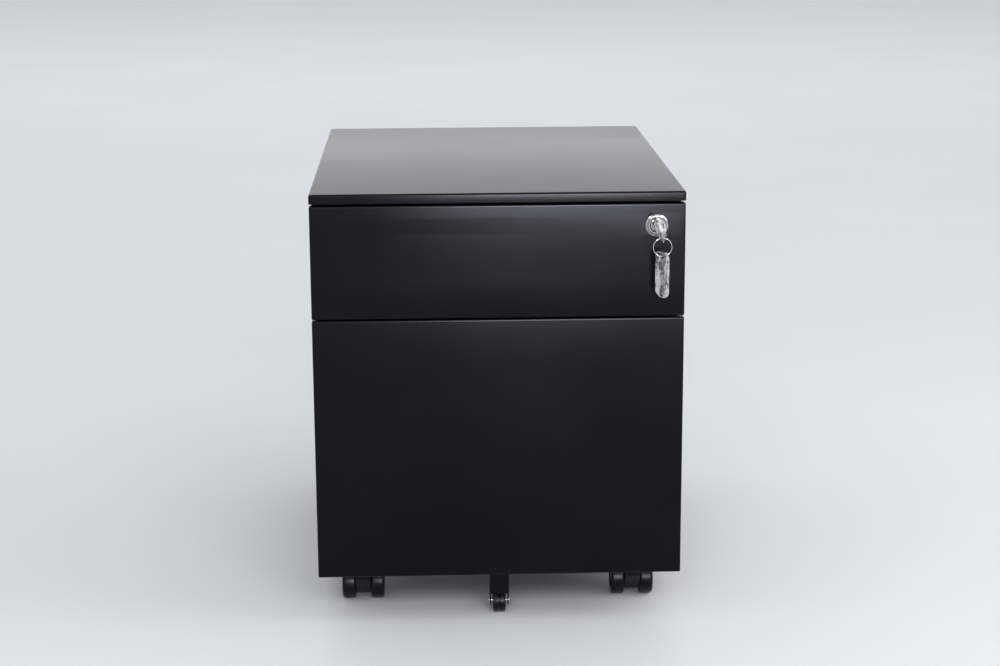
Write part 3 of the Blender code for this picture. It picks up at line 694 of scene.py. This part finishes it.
def make_carcass():
    for node, open_to in (("base_panel", (0, 0, 1)), ("back_panel", (0, -1, 0))):
        bm = pan(*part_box(node), open_to, PAN_BEND)
        piece(node + "_folded", bm, "powder", "carcass", node, 40)

    low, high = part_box("back_panel")
    edge, end, foot, head = 7 * MM, 20 * MM, 8 * MM, 12 * MM
    places = []
    for x in (low.x + edge, high.x - edge):
        places += row((x, high.y, low.z + end), (x, high.y, high.z - end), 7)
    for z in (low.z + foot, high.z - head):
        places += row((low.x + 60 * MM, high.y, z), (high.x - 60 * MM, high.y, z), 4)
    welds = spot_welds(places, (0, 1, 0))
    piece("back_spot_welds", welds, "powder", "carcass", sharp=60)

    for side, hand in SIDES:
        name = f"side_panel_{hand}"
        low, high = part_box(name)
        bm = pan(low, high, (-side, 0, 0), PAN_BEND)
        piece(name + "_folded", bm, "powder", "carcass", name, 40)
        middle = (low.x + high.x) / 2
        up = row((middle, high.y, low.z + 30 * MM), (middle, high.y, high.z - 30 * MM), 5)
        along = row((middle, low.y + 40 * MM, low.z), (middle, high.y - 40 * MM, low.z), 5)
        marks = spot_welds(up, (0, 1, 0))
        merge(marks, spot_welds(along, (0, 0, -1)))
        piece(f"side_spot_welds_{hand}", marks, "powder", "carcass", sharp=60)


def bow(bm, low, high):
    """Lets a folded front lean back a little towards its top edge, as thin sheet does."""
    start = high.z - LEAN_TALL
    bend = high.z - 2.5 * MM
    steps = 12
    for i in range(steps + 1):
        z = start + (bend - start) * i / steps
        geometry = bm.verts[:] + bm.edges[:] + bm.faces[:]
        bmesh.ops.bisect_plane(bm, geom=geometry, plane_co=(0, 0, z), plane_no=(0, 0, 1), dist=1e-7)
    for vert in bm.verts:
        rise = max(0.0, (vert.co.z - start) / LEAN_TALL)
        near = clamped((high.y - vert.co.y) / (high.y - low.y))
        vert.co.y += near * LEAN * rise ** 3


def make_front(drawer, lock=False):
    low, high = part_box(f"{drawer}_drawer_front")
    foot, head = SKIN_REACH[drawer]
    low -= Vector((SKIN_WIDER, 0, foot))
    high += Vector((SKIN_WIDER, 0, head))
    face = pan(low, high, (0, 1, 0), FRONT_BEND, FRONT_RETURN)
    bow(face, low, high)
    liner = pan(*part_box(f"{drawer}_drawer_liner"), (0, -1, 0), PAN_BEND)
    if lock:
        hole = 9.3 * MM
        face = cut(face, [cylinder(LOCK, TO_FRONT, hole, 60 * MM)])
        liner = cut(liner, [cylinder(LOCK, TO_FRONT, hole, 100 * MM)])
    body = f"{drawer}_drawer"
    for node, bm, ending in (("front", face, "skin"), ("liner", liner, "pan")):
        name = f"{drawer}_drawer_{node}"
        piece(f"{name}_{ending}", bm, "powder", body, name, 40)


def make_tray(drawer):
    """A drawer's folded tray with ribs across its floor."""
    name = f"{drawer}_drawer_tray"
    low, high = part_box(name)
    catch_x = high.x
    high.x = -low.x
    bm = pan(low, high, (0, 0, 1), PAN_BEND)
    if drawer == "box":
        # the corner that is left out for the lock's cam
        corner_low = (LOCK.x - 13.3 * MM, low.y - 1 * MM, LOCK.z - 28.5 * MM)
        bm = cut(bm, [cuboid(corner_low, (high.x + 2 * MM, low.y + 10 * MM, high.z + 13 * MM))])
    else:
        # the catch that the lock bar's finger stands before
        catch_low = (high.x - 0.5 * MM, low.y + 8 * MM, high.z - 10 * MM)
        catch = cuboid(catch_low, (catch_x, low.y + 14 * MM, high.z - 2 * MM))
        merge(bm, modified(catch, [rounded(0.5 * MM, 2)]))
    body = f"{drawer}_drawer"
    piece(name + "_folded", bm, "inside", body, name, 40)

    ribs = bmesh.new()
    wide = 5 * MM
    rise = 0.8 * MM
    thin = 0.1 * MM
    margin = 30 * MM
    section = [(-wide, 0), (-wide * 0.6, rise * 0.7), (0, rise), (wide * 0.6, rise * 0.7), (wide, 0)]
    for share in (0.2, 0.4, 0.6, 0.8):
        y = low.y + share * (high.y - low.y)
        floor_z = low.z + SHEET
        points = [(low.x + margin, y + dy, floor_z + dz - thin) for dy, dz in section]
        merge(ribs, swept(points, (high.x - low.x - 2 * margin, 0, 0), thin))
    piece(f"{drawer}_tray_ribs", ribs, "inside", body)


# ------------------------------------------------------------------ slides
def make_slides():
    for drawer in ("box", "file"):
        for side, hand in SIDES:
            for kind, body in (
                ("outer", "carcass"),
                ("middle", f"{drawer}_slide_middles"),
                ("inner", f"{drawer}_drawer"),
            ):
                make_member(drawer, hand, side, kind, body)
            make_balls(drawer, hand, side)


def make_member(drawer, hand, side, kind, body):
    """One telescopic channel: its flanges curl into ball races and its web has punched holes."""
    name = f"{drawer}_slide_{kind}_{hand}"
    low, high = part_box(name)
    sheet = GAUGE[kind]
    opens_in = kind != "inner"
    near, far = (low.x, high.x) if side > 0 else (high.x, low.x)
    web, tip = (far, near) if opens_in else (near, far)
    toward = 1 if tip > web else -1
    web += toward * sheet / 2
    middle = (low.z + high.z) / 2
    tall = (high.z - low.z) / 2 - sheet / 2
    section = softened(
        [(tip, middle + tall), (web, middle + tall), (web, middle - tall), (tip, middle - tall)],
        RACE[kind], 5, closed=False,
    )
    points = [(x, low.y, z) for x, z in section]
    bm = swept(points, (0, high.y - low.y, 0), sheet)
    through_web = Matrix(((0, 0, 1, 0), (1, 0, 0, 0), (0, 1, 0, 0), (0, 0, 0, 1)))
    shape = hull(*(ring((end * 3 * MM, 0), 2.2 * MM, 20) for end in (-1, 1)))
    holes = []
    for share in (0.06, 0.30, 0.62, 0.90):
        y = low.y + share * (high.y - low.y)
        holes.append(plate([shape], 4 * sheet, placed((web, y, middle), through_web)))
    bm = cut(bm, holes)
    piece(name + "_formed", bm, "zinc", body, name, 35)


def make_balls(drawer, hand, side):
    """The two pairs of ball rows and the strips that hold them, riding on the middle channel."""
    boxes = {kind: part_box(f"{drawer}_slide_{kind}_{hand}") for kind in GAUGE}
    half_tall = {kind: (high.z - low.z) / 2 for kind, (low, high) in boxes.items()}
    low, high = boxes["middle"]
    level = (low.z + high.z) / 2
    start = low.y + 12 * MM
    overhang = 6 * MM
    thin = 0.25 * MM
    x = side * (max(abs(corner.x) for corner in boxes["inner"]) - BALLS_INSET)
    balls = bmesh.new()
    cages = bmesh.new()
    for inside, outside in (("middle", "outer"), ("inner", "middle")):
        near = half_tall[inside]
        far = half_tall[outside] - GAUGE[outside]
        radius = (far - near) / 2 - 0.08 * MM
        for up in (-1, 1):
            z = level + up * (near + far) / 2
            for i in range(BALLS):
                at = Vector((x, start + i * BALL_PITCH, z))
                made = bmesh.ops.create_uvsphere(balls, u_segments=12, v_segments=8, radius=radius)
                bmesh.ops.translate(balls, vec=at, verts=made["verts"])
            end = start + (BALLS - 1) * BALL_PITCH + overhang
            strip = cuboid(
                (x - thin, start - overhang, z - radius * 0.75), (x + thin, end, z + radius * 0.75)
            )
            merge(cages, modified(strip, [rounded(0.12 * MM, 1)]))
    body = f"{drawer}_slide_middles"
    piece(f"{drawer}_slide_balls_{hand}", balls, "balls", body, sharp=80)
    piece(f"{drawer}_slide_cages_{hand}", cages, "dark_zinc", body)


# ------------------------------------------------------------------ lock and keys
def make_lock():
    make_lock_barrel()
    make_cam()
    make_lock_bar()


def make_lock_barrel():
    """The barrel with its rosette, and the plug with the slot that the key goes in."""
    profile = [
        (7.2, 2.5), (7.5, 2.75), (8.7, 2.75), (8.9, 2.5), (9.1, 2.5), (9.3, 3.15), (9.7, 3.3),
        (10.2, 3.1), (10.4, 2.2), (10.7, 1.95), (11.2, 2.0), (11.7, 1.75), (12.1, 1.25),
        (12.25, 0.8), (12.25, 0.3), (8.9, 0.3), (8.9, -30.4), (7.2, -30.4),
    ]
    bm = lathe(profile, LOCK, TO_FRONT, 96)
    piece("lock_body_turned", bm, "turned", "box_drawer", "lock_body", 25)

    face = [
        (0, 1.7), (4.6, 1.7), (5.0, 2.0), (6.2, 2.0), (6.7, 1.7), (6.9, 1.3), (6.9, -30.8), (0, -30.8),
    ]
    bm = lathe(face, LOCK, TO_FRONT, 80)
    half_wide, half_tall = 1.3 * MM, 4.3 * MM
    slot = cuboid((-half_wide, -4 * MM, -half_tall), (half_wide, 24.5 * MM, half_tall))
    slot.transform(placed(LOCK, Matrix.Rotation(KEY_TILT, 4, "Y")))
    bm = cut(bm, [slot])
    piece("lock_plug_turned", bm, "turned", "lock_plug", "lock_plug", 25)


def make_cam():
    """The cam with its screw and washer, and the nut that holds the barrel."""
    low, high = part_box("lock_cam")
    thickness = 2 * MM
    reach = 22 * MM
    at = Vector((LOCK.x, low.y + thickness / 2, LOCK.z))
    arm = hull(ring((0, 0), 6.5 * MM, 40), ring((0, -reach), 4 * MM, 32))
    lever = plate([arm], thickness, placed(at, TO_FRONT))
    lever = modified(lever, [rounded(0.25 * MM, 2)])
    screw = cylinder(at + Vector((0, 2.2 * MM, 0)), TO_FRONT, 4 * MM, 2.6 * MM, 6)
    merge(lever, modified(screw, [rounded(0.35 * MM, 2)]))
    washer = cylinder(at + Vector((0, 1.1 * MM, 0)), TO_FRONT, 5.4 * MM, 0.8 * MM, 40)
    merge(lever, washer)
    piece("lock_cam_arm", lever, "zinc", "lock_plug", "lock_cam")

    low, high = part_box("lock_nut")
    middle = (low + high) / 2
    outline = [hull(ring((0, 0), 12 * MM, 6)), ring((0, 0), 9.2 * MM, 48)]
    nut = plate(outline, high.y - low.y, placed(middle, TO_FRONT))
    nut = modified(nut, [rounded(0.3 * MM, 2)])
    piece("lock_nut_hex", nut, "zinc", "box_drawer", "lock_nut")


def make_lock_bar():
    """The flat bar, the finger that stands before the file drawer's catch, and the tab it lifts by."""
    low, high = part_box("lock_bar")
    tray_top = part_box("file_drawer_tray")[1].z
    sheet = 1.2 * MM
    edge = high.x - 7 * MM
    front, back = high.y - sheet, high.y
    bar = cuboid((edge, front, low.z), (high.x, back, high.z))
    finger_low = (low.x, front, tray_top - 19.5 * MM)
    finger = cuboid(finger_low, (edge + 1 * MM, back, tray_top - 11.5 * MM))
    tab_z = LOCK.z - 5.4 * MM
    tab = cuboid((edge, low.y, tab_z), (high.x - 1 * MM, back, tab_z + sheet))
    bar = modified(cut(bar, [finger, tab], "UNION"), [rounded(0.25 * MM, 2)])
    piece("lock_bar_strip", bar, "zinc", "lock_bar", "lock_bar")


def bitting(length):
    """A key blade's outline: flat back edge, and notches cut to different depths on the other."""
    half, tip = BLADE_HALF, BLADE_TIP
    points = [(0, half), (0, -half)]
    pitch = (length - tip) / (len(BLADE_CUTS) + 1)
    for i, depth in enumerate(BLADE_CUTS):
        x = -(i + 1) * pitch
        points += [
            (x + pitch * 0.42, -half),
            (x + pitch * 0.14, -half + depth),
            (x - pitch * 0.14, -half + depth),
            (x - pitch * 0.42, -half),
        ]
    points += [(-length + tip, -half), (-length, -half * 0.45), (-length, half * 0.35)]
    points += [(-length + tip, half)]
    return points


def flat_key(bow, eye, blade, matrix, name, body):
    """A flat key: the bow plate, the blade with its cuts, and two milled grooves."""
    face = modified(plate([bow, eye], KEY_THICK, matrix), [rounded(0.35 * MM, 3, 40)])
    shank = plate([blade], KEY_THICK - 0.2 * MM, matrix)
    half_wide = 0.55 * MM
    start = min(x for x, _ in blade) - 1 * MM
    end = max(x for x, _ in blade) - 4 * MM
    grooves = []
    for side in (-1, 1):
        y, z = side * 0.9 * MM, side * 0.75 * MM
        groove = cuboid((start, y - half_wide, z - 0.3 * MM), (end, y + half_wide, z + 1.0 * MM))
        groove.transform(matrix)
        grooves.append(groove)
    shank = modified(cut(shank, grooves), [rounded(0.12 * MM, 2, 40)])
    piece(name, merge(face, shank), "nickel", body, body, 40)


def crinkled_bag(outline, holes, matrix, body, seed, puff, sway=0):
    """A clear film bag: two crumpled skins welded at their edges, with a hole for the ring.

    puff gives the bag's thickness at a point; sway is how much more one skin bulges."""
    bm = plate([outline] + holes, FILM_GAP, AS_IS)
    bmesh.ops.triangulate(bm, faces=bm.faces)
    for _ in range(5):
        long_edges = [edge for edge in bm.edges if edge.calc_length() > FILM_MESH]
        if not long_edges:
            break
        bmesh.ops.subdivide_edges(bm, edges=long_edges, cuts=1, use_grid_fill=False)
        bmesh.ops.triangulate(bm, faces=[face for face in bm.faces if len(face.verts) > 3])
    rims = [outline] + holes
    weld = 0.06 * MM
    edge_zone = 2.6 * MM
    for vert in bm.verts:
        x, y, z = vert.co
        side = 1 if z > 0 else -1
        depth = min(distance_to(rim, (x, y)) for rim in rims)
        swell = clamped(depth / edge_zone) ** 0.6
        spot = Vector((x, y, side * 4 * MM))
        rough = noise.fractal(spot * 330 + Vector((seed, 0, 0)), 0.6, 2.1, 4)
        fold = noise.noise(Vector((x * 1.6, y * 0.7, side * 10 * MM)) * 240 + Vector((0, seed, 0)))
        half = puff((x, y)) / 2 * (1 - side * sway)
        vert.co.z = side * (weld + swell * (half - 0.15 * MM) * (0.78 + 0.30 * rough))
        vert.co.z += swell * 0.40 * MM * fold
        vert.co.x += swell * 0.30 * MM * rough
    bm.transform(matrix)
    piece(f"{body}_bag", bm, "film", body, f"{body}_sleeve", 180, recalc=False)


def distance_to(outline, point):
    """How far a point lies from a closed outline."""
    here = Vector(point)
    best = 1.0
    for a, b in zip(outline, outline[1:] + outline[:1]):
        start, end = Vector(a), Vector(b)
        along = end - start
        t = clamped((here - start).dot(along) / max(along.length_squared, 1e-12))
        best = min(best, (start + along * t - here).length)
    return best


def make_keys():
    make_lock_key()
    make_spare_key()
    make_split_ring()


def make_lock_key():
    """The key in the lock and the bag on its bow, drawn with local X out of the lock."""
    out_of_lock = Matrix(((0, 0, -1, 0), (-1, 0, 0, 0), (0, 1, 0, 0), (0, 0, 0, 1)))
    matrix = placed(LOCK, Matrix.Rotation(KEY_TILT, 4, "Y") @ out_of_lock)
    rounds = (
        ((EYE - 0.5 * MM, -6.5 * MM), 7.6 * MM, 48),
        ((EYE - 2.5 * MM, 4.5 * MM), 8 * MM, 48),
        ((10 * MM, 0.0), 4.8 * MM, 24),
    )
    eyes = ((EYE, -8.1 * MM), (EYE - 0.5 * MM, 3 * MM))
    bow = hull(*(ring(at, radius, steps) for at, radius, steps in rounds))
    eye = hull(*(ring(at, 3 * MM, 24) for at in eyes))
    blade = [(x + 8 * MM, y) for x, y in bitting(29.5 * MM)]
    flat_key(bow, eye, blade, matrix, "key_cut", "key")

    slack = 0.6 * MM
    outline = hull(*(ring(at, radius + slack, steps) for at, radius, steps in rounds))
    outline = densified([(max(x, 7.5 * MM), y) for x, y in outline], 2 * MM)
    hole = hull(*(ring(at, 3.4 * MM, 24) for at in eyes))

    def puff(point):
        """Full in the middle, flat at both ends, and thin where the ring passes."""
        high = clamped((point[1] + 14 * MM) / (26 * MM))
        clear_of_ring = clamped((abs(point[0] - EYE) - 2.5 * MM) / (4 * MM))
        return (2.8 + clear_of_ring * (1.7 + 7.5 * math.sin(math.pi * high) ** 0.7)) * MM

    crinkled_bag(outline, [hole], matrix, "key", 3.1, puff, sway=0.42)


def make_spare_key():
    """The spare hangs from the ring in its own bag, drawn with local Y upwards."""
    hook = Vector(JOINTS["spare_key_swing"]["pos_m"])
    matrix = placed(hook, Matrix.Rotation(SPARE_TURN, 4, "Z") @ TO_FRONT)
    bow = hull(ring((0, -5.4 * MM), 9.2 * MM), ring((0, -13 * MM), 8 * MM))
    eye = ring((0, -2.4 * MM), 4 * MM, 32)
    blade = [(y, x - 18 * MM) for x, y in bitting(24 * MM)]
    flat_key(bow, eye, blade, matrix, "spare_key_cut", "spare_key")

    half, top, foot, waist = 10.3 * MM, 4.6 * MM, -43.6 * MM, 9.3 * MM
    corners = [
        (-half, foot + 4.6 * MM), (-2.6 * MM, foot), (3.4 * MM, foot), (half, foot + 3.4 * MM),
        (half, -6 * MM), (waist, top), (-waist, top), (-half, -6 * MM),
    ]
    outline = densified(softened(corners, 3.6 * MM, 5), 1.4 * MM)
    hole = ring((0, -0.8 * MM), 2.2 * MM, 24)
    crinkled_bag(outline, [hole], matrix, "spare_key", 8.7, lambda point: 3.4 * MM)


def densified(outline, step):
    """A closed outline with its long edges divided."""
    out = []
    for a, b in zip(outline, outline[1:] + outline[:1]):
        start, end = Vector(a), Vector(b)
        count = max(1, math.ceil((end - start).length / step))
        out += [tuple(start.lerp(end, i / count)) for i in range(count)]
    return out


def make_split_ring():
    """Nearly two turns of wire that climb along Y."""
    low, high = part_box("key_ring")
    centre = (low + high) / 2
    radius = 9.65 * MM
    climb = 1.25 * MM
    start = 0.9
    steps = 64
    points = []
    for i in range(2 * steps - 6):
        angle = 2 * math.pi * i / steps + start
        shift = (i / (2 * steps) - 0.5) * climb
        points.append(centre + Vector((radius * math.cos(angle), shift, radius * math.sin(angle))))
    bm = wire(points, 0.44 * MM)
    piece("key_ring_split", bm, "chrome", "key_ring", "key_ring", 60)


# ------------------------------------------------------------------ wheels
def make_fifth_wheel():
    """The anti-tip wheel: a bracket with two cheeks, the rivet that is its axle, and the roller."""
    at = Vector(JOINTS["anti_tip_roll"]["pos_m"])
    low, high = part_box("anti_tip_bracket")
    sheet = 1.3 * MM
    half = high.x
    face_y = low.y + 13.5 * MM
    face_in = face_y + 0.1 * MM
    top = high.z
    shoulder = 0.6 * MM - top
    shelf = cuboid((-half, low.y, top - sheet), (half, high.y - 8.3 * MM, top))
    face = cuboid((-half, face_y, at.z + 11 * MM), (half, face_y + sheet, top - 0.2 * MM))
    bm = cut(shelf, [face], "UNION")
    cheeks = []
    for side in (-1, 1):
        lobe = ring((-at.z, at.y), 5 * MM, 40)
        shoulders = [
            (shoulder, face_in), (shoulder, high.y), (-at.z - 11 * MM, face_in),
        ]
        place = placed((side * (half - sheet / 2 - 0.05 * MM), 0, 0), ALONG_X)
        cheeks.append(plate([hull(lobe, shoulders)], sheet, place))
    bm = cut(bm, cheeks, "UNION")
    bm = cut(bm, [cylinder(at, ALONG_X, 2.3 * MM, 0.03)])
    bm = modified(bm, [rounded(0.45 * MM, 3)])
    piece("anti_tip_fork", bm, "powder", "file_drawer", "anti_tip_bracket", 40)

    pin = [(0, 12.3), (1.2, 12.2), (2.6, 11.6), (3.3, 10.9), (3.3, 10.6), (2.0, 10.6)]
    bm = lathe(both_ways(pin), at, ALONG_X, 40, closed=False)
    piece("anti_tip_rivet", bm, "zinc", "file_drawer", "anti_tip_axle")

    radius, width, edge = 12.5, 6.8, 1.8
    hub, web = width - 0.4, width - 1.2
    section = [(2.4, hub), (4.6, hub), (5.2, web), (8.6, web), (9.4, width)]
    section += arc((radius - edge, width - edge), edge, 90, 0, 5)
    section += [(radius, 1.35), (radius - 0.3, 1.0), (radius - 3.2, 0.9)]
    bm = lathe(both_ways(section), at, ALONG_X, 72)
    piece("anti_tip_roller", bm, "tread", "anti_tip_wheel", "anti_tip_wheel", 35)


def pan_screw(at, down):
    """A pan-head screw with a cross recess; down is the way that its head points."""
    profile = [(0, 2.1), (1.98, 1.974), (3.06, 1.47), (3.6, 0.63), (3.6, 0), (0, 0)]
    head = lathe(profile, Vector((0, 0, 0)), AS_IS, 32, closed=False)
    half_long, half_wide = 1.872 * MM, 0.42 * MM
    bars = []
    for angle in (18, 108):
        bar = cuboid((-half_long, -half_wide, 0.735 * MM), (half_long, half_wide, 4.2 * MM))
        bar.transform(Matrix.Rotation(math.radians(angle), 4, "Z"))
        bars.append(bar)
    head = cut(head, bars)
    head.transform(placed(at, upright_to(down)))
    return head


def make_casters():
    for name, joint in list(JOINTS.items()):
        if name.endswith("_swivel"):
            make_caster(name[: -len("_swivel")], Vector(joint["pos_m"]))


def make_caster(name, pivot):
    """A caster's plate with its race, kingpin and four screws, and then its body and wheels."""
    axle = Vector(JOINTS[f"{name}_roll_left"]["pos_m"])
    ahead = 1 if axle.y > pivot.y else -1
    low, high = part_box(f"{name}_mount")
    sheet = 1.7 * MM
    centre = Vector((pivot.x, pivot.y, 0))
    half = (high.x - low.x) / 2
    reach = 14.2 * MM
    square = softened([(-half, -half), (half, -half), (half, half), (-half, half)], 4 * MM, 6)
    screws = [(x, y) for x in (-reach, reach) for y in (-reach, reach)]
    holes = [ring(place, 2.2 * MM, 20) for place in screws]
    flat = plate([square] + holes, sheet, placed((centre.x, centre.y, high.z - sheet / 2)))
    flat = modified(flat, [rounded(0.3 * MM, 2, 50)])
    race = [
        (0, 50.2), (3.8, 50.2), (11.6, 50.2), (11.9, 49.6), (11.2, 48.4), (10.4, 47.7),
        (9.0, 47.25), (3.8, 47.25), (3.8, 28.3), (3.3, 27.9), (0, 27.9),
    ]
    merge(flat, lathe(race, centre, AS_IS, 56, closed=False))
    piece(f"{name}_plate", flat, "zinc", "carcass", f"{name}_mount", 35)
    heads = bmesh.new()
    for x, y in screws:
        at = centre + Vector((x, y, high.z - sheet))
        merge(heads, pan_screw(at, (0, 0, -1)))
    piece(f"{name}_screws", heads, "zinc", "carcass", (), 35)
    make_caster_housing(name, centre, axle, ahead)
    make_caster_wheels(name, axle)


def make_caster_housing(name, centre, axle, ahead):
    """The body between the wheels, the hood over them with its two ribs, and the axle pin."""
    fork = 8.2 * MM
    trail = axle.y - centre.y
    boss = ring((-35 * MM, 0), 11.9 * MM, 64)
    hub = ring((-axle.z, trail), 14.5 * MM, 64)
    bridge = ring((-33.5 * MM, trail), 9.5 * MM, 48)
    bm = plate([hull(boss, hub, bridge)], 2 * fork, placed(centre, ALONG_X))
    bm = cut(bm, [
        cylinder(centre + Vector((0, 0, 38.5 * MM)), AS_IS, 4.1 * MM, 22 * MM),
        cylinder(axle, ALONG_X, 3.3 * MM, 30 * MM),
    ])
    bm = modified(bm, [rounded(0.9 * MM, 3, 40)])
    half = 23.4 * MM
    curve = arc((0, 0), 22.3 * MM, 20, 120, 26)
    section = [axle + Vector((-half, ahead * y, z)) for y, z in curve]
    hood = swept(section, (2 * half, 0, 0), 1.6 * MM)
    hood = modified(hood, [rounded(0.5 * MM, 2, 50)])
    merge(bm, hood)
    for side in (-1, 1):
        x = side * 15.5 * MM
        rib = [axle + Vector((x, ahead * y, z)) for y, z in arc((0, 0), 23.3 * MM, 30, 110, 16)]
        merge(bm, wire(rib, 0.45 * MM, sides=2))
    piece(f"{name}_body", bm, "nylon", name, f"{name}_housing", 35)

    end = [(0, 22.5), (2.3, 22.5), (2.9, 22.0), (2.97, 21.5)]
    bm = lathe(both_ways(end), axle, ALONG_X, 40, closed=False)
    piece(f"{name}_pin", bm, "zinc", name, f"{name}_axle", 35)


def make_caster_wheels(name, axle):
    """Each wheel: a tread with rounded shoulders, and a dished hub with ribs."""
    width, radius = 14.6, 20.0
    outer_round, inner_round = 3.0, 2.2
    from_middle = 8.7 * MM
    section = [
        (3.3, 13.9), (5.4, 13.9), (5.9, 13.5), (6.1, 12.1), (12.6, 11.8), (13.3, 12.4),
        (13.6, 13.9), (14.1, 14.3),
    ]
    section += arc((radius - outer_round, width - outer_round), outer_round, 90, 0, 7)
    section += [(radius, width / 2)]
    section += arc((radius - inner_round, inner_round), inner_round, 0, -90, 6)
    section += [(12.0, 0), (11.6, 0.8), (3.3, 0.8)]
    ribs = 6
    for side, hand in SIDES:
        matrix = Matrix.Rotation(side * math.pi / 2, 4, "Y")
        at = axle + Vector((side * from_middle, 0, 0))
        bm = lathe(section, at, matrix, 88)
        for i in range(ribs):
            rib = cuboid((5.6 * MM, -0.5 * MM, 11.6 * MM), (13.4 * MM, 0.5 * MM, 12.9 * MM))
            rib = modified(rib, [rounded(0.2 * MM, 2)])
            turn = Matrix.Rotation(2 * math.pi * i / ribs, 4, "Z")
            rib.transform(placed(at, matrix @ turn))
            merge(bm, rib)
        wheel = f"{name}_wheel_{hand}"
        piece(wheel + "_moulded", bm, "tread", wheel, wheel, 35)


# ------------------------------------------------------------------ what keeps its CAD shape
def paint_nodes():
    keeps = {
        "inner_side_left": "zinc",
        "inner_side_right": "zinc",
        "file_rail_left": "rail",
        "file_rail_right": "rail",
    }
    for node, material in keeps.items():
        mesh = frame["nodes"][node].data
        mesh.materials.clear()
        mesh.materials.append(look(material))


def main():
    make_camera()
    make_studio()
    make_top()
    make_carcass()
    make_front("box", lock=True)
    make_front("file")
    make_tray("box")
    make_tray("file")
    make_slides()
    make_lock()
    make_keys()
    make_fifth_wheel()
    make_casters()
    paint_nodes()


main()
